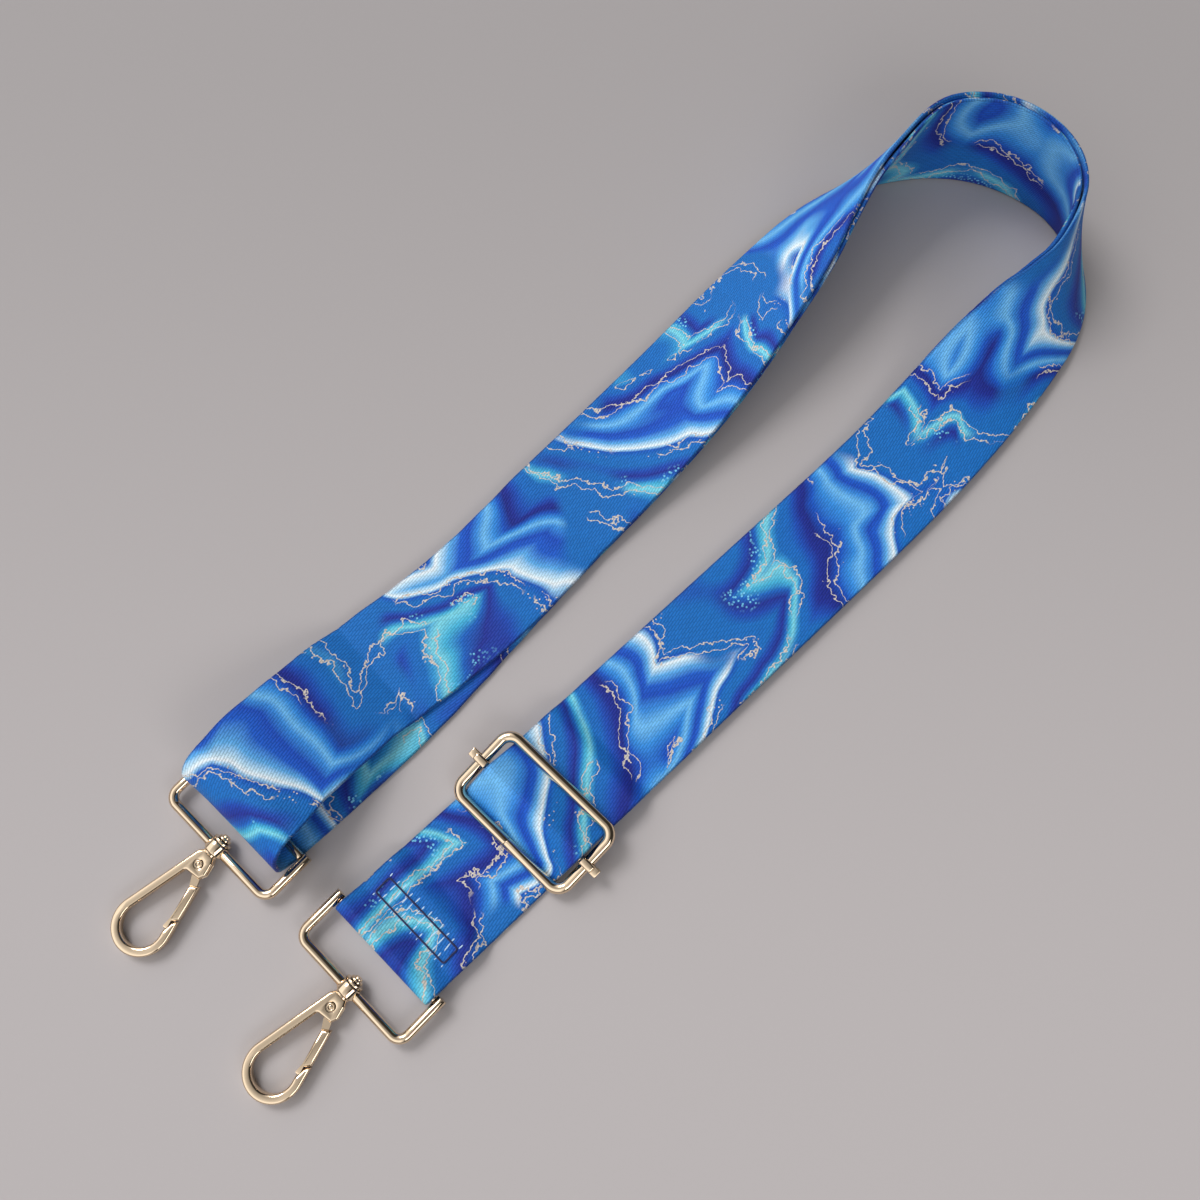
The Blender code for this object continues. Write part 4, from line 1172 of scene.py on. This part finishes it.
def hookSide(side, startY):  # start, direction and outward side of one arm
    start = (hook["neckStart"] + hook["shoulder"], startY)
    heading = headingBetween((*start, 0.0, 1), (*bowCenter, hook["bowRadius"], -side))
    outward = Vector((-math.sin(heading), math.cos(heading))) * side
    return Vector(start), Vector((math.cos(heading), math.sin(heading))), outward


def partingLine():  # between nose and gate: distance back from the bow and depth from the outer side
    return [
        (hook["noseOuter"], 0),
        (hook["noseOuter"] - hook["noseSlant"], hook["arm"] * hook["noseStep"]),
        (hook["noseInner"], hook["arm"] * hook["noseTip"]),
        (hook["noseInner"], hook["arm"]),
    ]


gateStart, gateAlong, gateOut = hookSide(1, hook["shoulderRight"])
gateMeeting = Vector(bowCenter) + gateOut * hook["bowRadius"]
rivetX = hook["rivetFromBarrel"]
tongueDrop = (hook["slotHeight"] - gate["tongue"]) / 2 - gate["tongueGap"]


def roundedCorner(before, corner, after, radius, steps=4):
    before, corner, after = Vector(before), Vector(corner), Vector(after)
    back, ahead = (before - corner).normalized(), (after - corner).normalized()
    reach = radius / math.tan(back.angle(ahead) / 2)
    start, end = corner + back * reach, corner + ahead * reach
    shares = [step / steps for step in range(steps + 1)]
    return [tuple(start.lerp(corner, share).lerp(corner.lerp(end, share), share)) for share in shares]


def hookOutline():
    leftStart, leftAlong, leftOutward = hookSide(-1, -hook["shoulderLeft"])
    outAngle = math.atan2(gateOut.y, gateOut.x)
    leftAngle = math.atan2(leftOutward.y, leftOutward.x)
    inner = arcPoints(bowCenter, hook["bowRadius"] - hook["arm"], leftAngle, outAngle)
    outer = arcPoints(bowCenter, hook["bowRadius"], outAngle, leftAngle)
    nose = [gateMeeting - gateOut * depth - gateAlong * back for back, depth in reversed(partingLine())]
    leftInner = leftStart - leftOutward * hook["arm"]
    crotch = leftInner + leftAlong * ((hook["crotchEnd"] - leftInner.x) / leftAlong.x)
    cheek = gateStart + gateAlong * ((hook["cheekReach"] - gateStart.x) / gateAlong.x)
    cheekEnd = (hook["cheekEnd"], hook["cheekEndSide"])
    neck, neckLeft = ((hook["neckStart"], side * hook["neckHalf"]) for side in (1, -1))
    corners = [neck, gateStart, cheek, cheekEnd, crotch, inner[0]]
    shoulder = []
    for index, radius in enumerate(hook["cornerRounds"]):
        shoulder += roundedCorner(*corners[index : index + 3], radius)
    left = roundedCorner(outer[-1], leftStart, neckLeft, hook["cornerRounds"][0])
    return [neck, *shoulder, *inner, *nose, *outer, *left, neckLeft]


def neckProfile():  # flange, post, peened head and the nub on it
    start = ring["barrelLength"] / 2 + swivel["gap"]
    end = start + swivel["flangeThickness"]
    headStart = -(start + swivel["gap"] + swivel["washerThickness"])
    flange, post, head, edge = swivel["flange"], swivel["post"], swivel["head"], swivel["edge"]
    tip, disc = headStart - swivel["headLength"], headStart - swivel["discThickness"]
    turn, nub = swivel["discRound"], swivel["nub"]
    return [
        (0, end + overrun / 2),
        (post, end + overrun / 2),
        (post + 2 * edge, end + edge / 2),
        (flange - 2 * edge, end),
        (flange, end - 2 * edge),
        (flange, start + edge),
        (flange - edge, start),
        (post, start),
        (post, headStart),
        (head - 1.5 * edge, headStart),
        (head, headStart - 1.5 * edge),
        *arcPoints((head - turn, disc + turn), turn, 0, -math.pi / 2, math.radians(18)),
        (nub + 1.2 * edge, disc),
        (nub, disc - 0.8 * edge),
        *arcPoints((nub - turn, tip + turn), turn, 0, -math.pi / 2, math.radians(18)),
        *((nub * share, tip + edge * rise) for share, rise in swivel["peenDent"]),
    ]


def slotOutline():
    openEnd, openSide = hook["crotchEnd"] + hook["arm"], hook["arm"] + 2 * overrun
    return [
        (hook["slotStart"], -hook["slotWall"]),
        (hook["crotchEnd"], -hook["slotWall"]),
        (openEnd, -hook["slotWall"] + hook["arm"]),
        (openEnd, openSide),
        (hook["slotStart"], openSide),
    ]


def makeHookBody(name, pivot):
    cutters = [
        plateMesh(slotOutline(), hook["slotHeight"]),
        movedMesh(rodMesh(gate["rivet"] + gate["rivetGap"], hook["thickness"] + 2 * overrun), rivetX),
    ]
    for side in (1, -1):
        height = side * (hook["thickness"] / 2 - gate["grooveDepth"] + overrun / 2)
        cutters.append(movedMesh(rodMesh(gate["recess"], overrun), rivetX, 0, height))
    body = cutMesh(plateMesh(hookOutline(), hook["thickness"], hook["round"]), cutters)
    meshes = [softened(body, hook["edgeBreak"], hook["edgeAngle"]), turnedMesh(neckProfile(), "X")]
    placedGold(f"{name}_bow", meshes, pivot, name, f"{name}_body")
    thickness = swivel["washerThickness"]
    washer = sleeveMesh(swivel["washer"], swivel["washerBore"], thickness, "X", swivel["washerRound"])
    movedMesh(washer, -(ring["barrelLength"] / 2 + swivel["gap"] + thickness / 2))
    placedGold(f"{name}_collar", [washer], pivot, name, f"{name}_washer")


def gateOutline():
    def gatePoint(depth, back):
        return tuple(gateMeeting - gateOut * depth - gateAlong * (back + gate["gap"]))

    ends = [gatePoint(depth + (gate["gap"] if depth else 0), back) for back, depth in partingLine()]
    innerStart = gateStart + gateAlong * (gate["start"] + gate["startSlant"]) - gateOut * hook["arm"]
    start = gateStart + gateAlong * gate["start"]
    return [tuple(start), *ends[:-1], gatePoint(hook["arm"], hook["noseInner"]), tuple(innerStart)]


def tongueEdges():
    root = gateStart + gateAlong * (gate["start"] + gate["startSlant"] + overrun)
    nearEdge = root - gateOut * (hook["chamfer"] + gate["tongueInset"])
    return nearEdge, nearEdge - gateOut * gate["tongueWidth"]


def tongueFacing():
    nearEdge, farEdge = tongueEdges()
    return ((nearEdge + farEdge) / 2 - Vector((rivetX, 0))).normalized()


def tongueOutline():
    nearEdge, farEdge = tongueEdges()
    facing = tongueFacing()
    angle = math.atan2(facing.y, facing.x)
    eye = arcPoints((rivetX, 0), gate["tongueEye"], angle + math.pi / 2, angle + math.pi * 3 / 2)
    return [*eye, tuple(farEdge), tuple(nearEdge)]


def makeGate(name, pivot, body):
    bar = plateMesh(gateOutline(), hook["thickness"], hook["round"])
    bar = softened(bar, hook["edgeBreak"], hook["edgeAngle"])
    tongue = movedMesh(plateMesh(tongueOutline(), gate["tongue"]), 0, 0, -tongueDrop)
    eye = rodMesh(gate["rivet"] + 2 * gate["rivetGap"], hook["thickness"])
    hole = tongueFacing() * gate["springHoleFromRivet"]
    spot = rodMesh(gate["springHole"], hook["thickness"])
    tongue = cutMesh(tongue, [movedMesh(eye, rivetX), movedMesh(spot, rivetX + hole.x, hole.y)])
    placedGold(f"{name}_gate_arm", [bar, tongue], pivot, body, f"{name}_gate")


def makeRivet(name, pivot):
    seat, neck = hook["thickness"] / 2 - gate["recessDepth"], gate["rivetGap"]
    head, height = gate["rivetHead"], gate["rivetHeadHeight"]
    half = [(head * share, seat + height * rise) for share, rise in gate["rivetFace"]]
    half += [(head, seat + neck), (gate["rivet"], seat + neck)]
    mesh = movedMesh(turnedMesh(mirrored(half)), rivetX)
    placedGold(f"{name}_rivet", [mesh], pivot, name, f"{name}_gate_rivet")


def makeSpring(name, pivot, gateBody):
    turnRadius = gate["rivet"] + gate["rivetGap"] + gate["springWire"]
    height = hook["slotHeight"] / 2 - gate["tongueGap"] - gate["springWire"]
    hole = tongueFacing() * gate["springHoleFromRivet"]
    wall = -hook["slotWall"] + gate["springWire"] + gate["tongueGap"]
    turns = [(*hole, 0.0, 1), (0.0, 0.0, turnRadius, 1), (gate["springLeg"], wall, 0.0, 1)]
    points = [(*hole, -tongueDrop)] + [(x, y, height) for x, y in beltPoints(turns)]
    mesh = movedMesh(wireMesh(points, gate["springWire"], sides=3), rivetX)
    bend = [pivot @ Vector((rivetX, hole.y * share, 0)) for share in gate["springBendShares"]]
    motion = (name, gateBody, *bend)  # the hook's body, the gate and two points on the way to the spring's hole
    placed(f"{name}_spring", [mesh], springMaterial, pivot, motion, "spring_steel", f"{name}_gate_spring")


def fittingMatrix(x, y, height, turned):
    return Matrix.Translation(origin + Vector((x, y, height))) @ Euler(turned).to_matrix().to_4x4()


def makeHook(number, barX, ringY, yaw):
    pivot = fittingMatrix(barX, ringY, barHeight, (0, hookPitch, math.pi + yaw))
    makeRing(number, pivot)
    barrel = pivot @ Matrix.Translation((ring["depth"], 0, 0))
    name, gateBody = f"hook_{number}", f"gate_{number}"
    makeHookBody(name, barrel)
    makeGate(name, barrel, gateBody)
    makeRivet(name, barrel)
    makeSpring(name, barrel, gateBody)
    print(f"hook {number} made")


makeHook(1, hook1X, ring1Y, layout["hook1Yaw"])
makeHook(2, hook2X, rightY, layout["hook2Yaw"])


def makeSliderFrame(pivot):
    longHalf, shortHalf, corner = sliderHalf, slider["pitch"] / 2, slider["corner"]
    points = [(-shortHalf, slider["seam"] / 2)]
    for index, (xSide, ySide) in enumerate([(-1, 1), (1, 1), (1, -1), (-1, -1)]):
        center = (xSide * (shortHalf - corner), ySide * (longHalf - corner))
        start = math.pi - index * math.pi / 2
        points += arcPoints(center, corner, start, start - math.pi / 2)
    points.append((-shortHalf, -slider["seam"] / 2))
    mesh = wireMesh([(x, y, 0) for x, y in points], slider["wire"], sides=7, endRound=slider["endRound"])
    placedGold("slider_wire_frame", [mesh], pivot, "slider_frame", "slider_frame")


def makeSliderBar(pivot):
    bore = slider["wire"] + slider["eyeGap"]
    eyeSize = (slider["eyeLength"], 2 * (bore + slider["eyeWall"]), 2 * (bore + slider["eyeWall"]))
    meshes = [rodMesh(slider["bar"], 2 * (sliderHalf - bore - slider["barEndGap"]), "Y")]
    nubSize = (slider["nubLength"], slider["nubReach"] + slider["eyeWall"] / 2, slider["nubHeight"])
    nubSide = sliderHalf + bore + slider["eyeWall"] / 4 + slider["nubReach"] / 2
    for side in (1, -1):
        eye = boxMesh(eyeSize, (0, side * sliderHalf, 0), slider["eyeRound"] * 2)
        hole = movedMesh(rodMesh(bore, slider["eyeLength"] + 2 * overrun, "X"), 0, side * sliderHalf)
        meshes += [cutMesh(eye, [hole]), boxMesh(nubSize, (0, side * nubSide, 0), slider["eyeRound"])]
    placedGold("slider_centre_bar", meshes, pivot, "slider_bar", "slider_bar")


sliderTurn = (0, -sliderTilt, layout["sliderYaw"])
sliderMatrix = fittingMatrix(sliderX, rightY + layout["sliderOffset"], sliderHeight, sliderTurn)
makeSliderFrame(sliderMatrix)
makeSliderBar(sliderMatrix)
print("slider made")


def boxPath():  # round the box stitch, as (x, y) from the bar's middle
    near, far, side = sewing["fromBar"], sewing["fromBar"] + sewing["length"], sewing["width"] / 2
    corners = [(near, -side), (far, -side), (far, side), (near, side)]
    points = []
    for index, corner in enumerate(corners):
        points += roundedCorner(corners[index - 1], corner, corners[(index + 1) % 4], sewing["cornerRound"])
    return points + [points[0]]


def makeStitches(prefix, barX, yaw, lift, motion):
    turn = Matrix.Rotation(yaw, 3, "Z")
    faceGap = halfThick + stitchRoom / 2
    path = divided(boxPath(), sewing["threadStep"])
    lengths = pathLengths(path)
    count = round(lengths[-1] / sewing["stitch"])
    for name, height, up in (("top", sewnHigh + faceGap, 1), ("bottom", sewnLow - faceGap, -1)):
        center = Vector((barX, rightY, height + lift)) + origin
        points = []
        for (x, y), length in zip(path[:-1], lengths):
            beat = abs(math.sin(math.pi * count * length / lengths[-1]))
            dip = Vector((0, 0, up * sewing["dip"] * (1 - beat**0.5)))
            points.append(turn @ Vector((x, y, 0)) + center - dip)
        mesh = wireMesh(points, sewing["threadRadius"] * sewing["threadSpread"], isLoop=True, sides=2)
        node = f"{prefix}_stitch_{name}"
        placed(f"{prefix}_box_stitch_{name}", [mesh], threadMaterial, Matrix(), motion, "navy_thread", node)


pullMarks = {
    "spacing": 0.0026,
    "length": (0.0018, 0.0036),
    "outerShare": 1.0,
    "innerShare": 0.6,
    "halfWidth": 0.0002,
    "height": 0.00007,
    "gap": 0.00025,
    "stray": 0.00025,
    "lean": 0.12,
}


def makePullMarks(name, barX, yaw, surface):  # undyed yarn that the needle has pulled to the surface
    random.seed(7)
    turn = Matrix.Translation(Vector((barX, rightY, surface)) + origin) @ Matrix.Rotation(yaw, 4, "Z")
    shape = bmesh.new()
    near, side = sewing["fromBar"], sewing["width"] / 2
    rows = round(2 * side / pullMarks["spacing"])
    stray, tilt = pullMarks["stray"], pullMarks["lean"]
    for row in range(rows + 1):
        y = -side + 2 * side * row / rows
        for x, way in ((near, -1), (near, 1), (near + sewing["length"], -1), (near + sewing["length"], 1)):
            share = pullMarks["outerShare"] if way < 0 else pullMarks["innerShare"]
            length = random.uniform(*pullMarks["length"]) * share
            center = (x + way * (length / 2 + pullMarks["gap"]), y + random.uniform(-stray, stray), 0)
            size = Matrix.Diagonal((length / 2, pullMarks["halfWidth"], pullMarks["height"], 1))
            lean = Matrix.Rotation(random.uniform(-tilt, tilt), 4, "Z")
            matrix = Matrix.Translation(center) @ lean @ size
            bmesh.ops.create_uvsphere(shape, u_segments=10, v_segments=6, radius=1.0, matrix=matrix)
    mesh = written(shape, bpy.data.meshes.new(name))
    placed(name, [mesh], yarnMaterial, turn, ["webbing"], "printed_webbing")


makeStitches("hook_2", hook2X, layout["hook2Yaw"], ring["barLift"], ["webbing"])
makeStitches("slider", sliderX, layout["sliderYaw"], 0, bentBetween(*barBend))
makePullMarks("hook_2_pull_marks", hook2X, layout["hook2Yaw"], foldHigh + halfThick)
print("stitches made")

studio = {
    "lens": 33.0,
    "eye": Vector((-0.0686, -0.0540, 0.3302)),  # from the layout's origin
    "tilt": math.radians(14.88),
    "roll": math.radians(8.98),
    "turn": math.radians(51.7816),
    # Painted light: the floor goes from this colour at its far side to a brighter colour at its near side,
    # standing in for how the light falls
    "floor": linearColor(165, 160, 160),
    "floorPaintedBright": linearColor(185, 179, 179),
    "floorSize": 4.0,
    "floorGrain": (900.0, 3.0, 0.6),
    "floorGrainShade": 0.02,
    "paintedLightFade": (-0.16, 0.22),
    "paintedLightWay": (0.66, 0.72, 0.0),
    "floorRoughness": 0.9,
    "key": ((-0.15, 1.55, 1.80), (0.9, 0.9), 27.0),
    "fill": ((-0.3, -0.9, 0.8), (0.7, 0.5), 3.2),
    # Brightness by height: pale walls, above them a tent of light on one side and a dark room on the other
    "bright": [
        (0.00, 0.28), (0.11, 0.25), (0.16, 0.10), (0.27, 0.20),
        (0.34, 1.00), (0.84, 1.00), (0.90, 0.62), (1.00, 0.27),
    ],
    "dark": [(0.00, 0.28), (0.11, 0.25), (0.16, 0.03), (0.90, 0.03), (1.00, 0.27)],
    "roomGain": 1.32,
    "brightSide": (-0.75, 0.6, 0.0),
    "sideFade": (-0.14, 0.20),
}


def makeCamera():
    tilt, roll, turn = studio["tilt"], studio["roll"], studio["turn"]
    right, up = Vector((1, 0, 0)), Vector((0, math.cos(tilt), math.sin(tilt)))
    forward = Vector((0, math.sin(tilt), -math.cos(tilt)))
    imageRight = right * math.cos(roll) + up * math.sin(roll)
    imageUp = up * math.cos(roll) - right * math.sin(roll)
    axes = [(math.cos(turn), math.sin(turn), 0), (-math.sin(turn), math.cos(turn), 0), (0, 0, 1)]
    views = (imageRight, imageUp, -forward)
    matrix = Matrix([[view.dot(Vector(axis)) for view in views] for axis in axes]).to_4x4()
    matrix.translation = origin + studio["eye"]
    data = bpy.data.cameras.new("studioCamera")
    setAll(data, {"lens": studio["lens"], "sensor_width": 36.0, "clip_start": 0.01})
    camera = addObject("studioCamera", data)
    camera.matrix_world = matrix
    bpy.context.scene.camera = camera


def addLamp(name, place, size, power):
    data = bpy.data.lights.new(name, "AREA")
    setAll(data, {"shape": "RECTANGLE", "size": size[0], "size_y": size[1], "energy": power})
    lamp = addObject(name, data)
    lamp.location = place
    lamp.rotation_euler = (-Vector(place)).to_track_quat("-Z", "Y").to_euler()


def makeFloor():
    shape = bmesh.new()
    bmesh.ops.create_grid(shape, x_segments=4, y_segments=4, size=studio["floorSize"])
    mesh = written(shape, bpy.data.meshes.new("floor"))
    material, tree = newMaterial("paperFloor")
    place = addNode(tree, "TexCoord")["Object"]
    grain = addNoise(tree, place, *studio["floorGrain"], "3D")["Fac"]
    # Painted light: the floor is painted brighter towards its near side
    paintedLightShare = addNode(tree, "VectorMath", (place, studio["paintedLightWay"]), operation="DOT_PRODUCT")["Value"]
    color = addMix(tree, addRange(tree, paintedLightShare, *studio["paintedLightFade"]), studio["floorPaintedBright"], studio["floor"])
    gray = addGray(tree, addMath(tree, "MULTIPLY_ADD", grain, -studio["floorGrainShade"], 1.0))
    color = addMix(tree, 1.0, color, gray, "MULTIPLY")
    shaded(material, {"Base Color": color, "Roughness": studio["floorRoughness"], "Specular IOR Level": 0.1})
    mesh.materials.append(material)
    addObject("floor", mesh)


def makeWorld():
    world = bpy.data.worlds.new("studioWorld")
    world.use_nodes = True
    tree = world.node_tree
    direction = addNode(tree, "TexCoord")["Generated"]
    height = addNode(tree, "SeparateXYZ", (direction,))["Z"]
    bright, dark = (
        addRamp(tree, height, [(place, (level, level, level, 1.0)) for place, level in studio[name]])
        for name in ("bright", "dark")
    )
    side = addNode(tree, "VectorMath", (direction, studio["brightSide"]), operation="DOT_PRODUCT")["Value"]
    gray = addMix(tree, addRange(tree, side, *studio["sideFade"]), dark, bright)
    setInputs(tree, tree.nodes["Background"], {"Color": gray, "Strength": studio["roomGain"]})
    bpy.context.scene.world = world


makeCamera()
makeFloor()
makeWorld()
addLamp("keyLamp", *studio["key"])
addLamp("fillLamp", *studio["fill"])
bpy.context.scene.view_settings.view_transform = "Standard"
print("studio made")
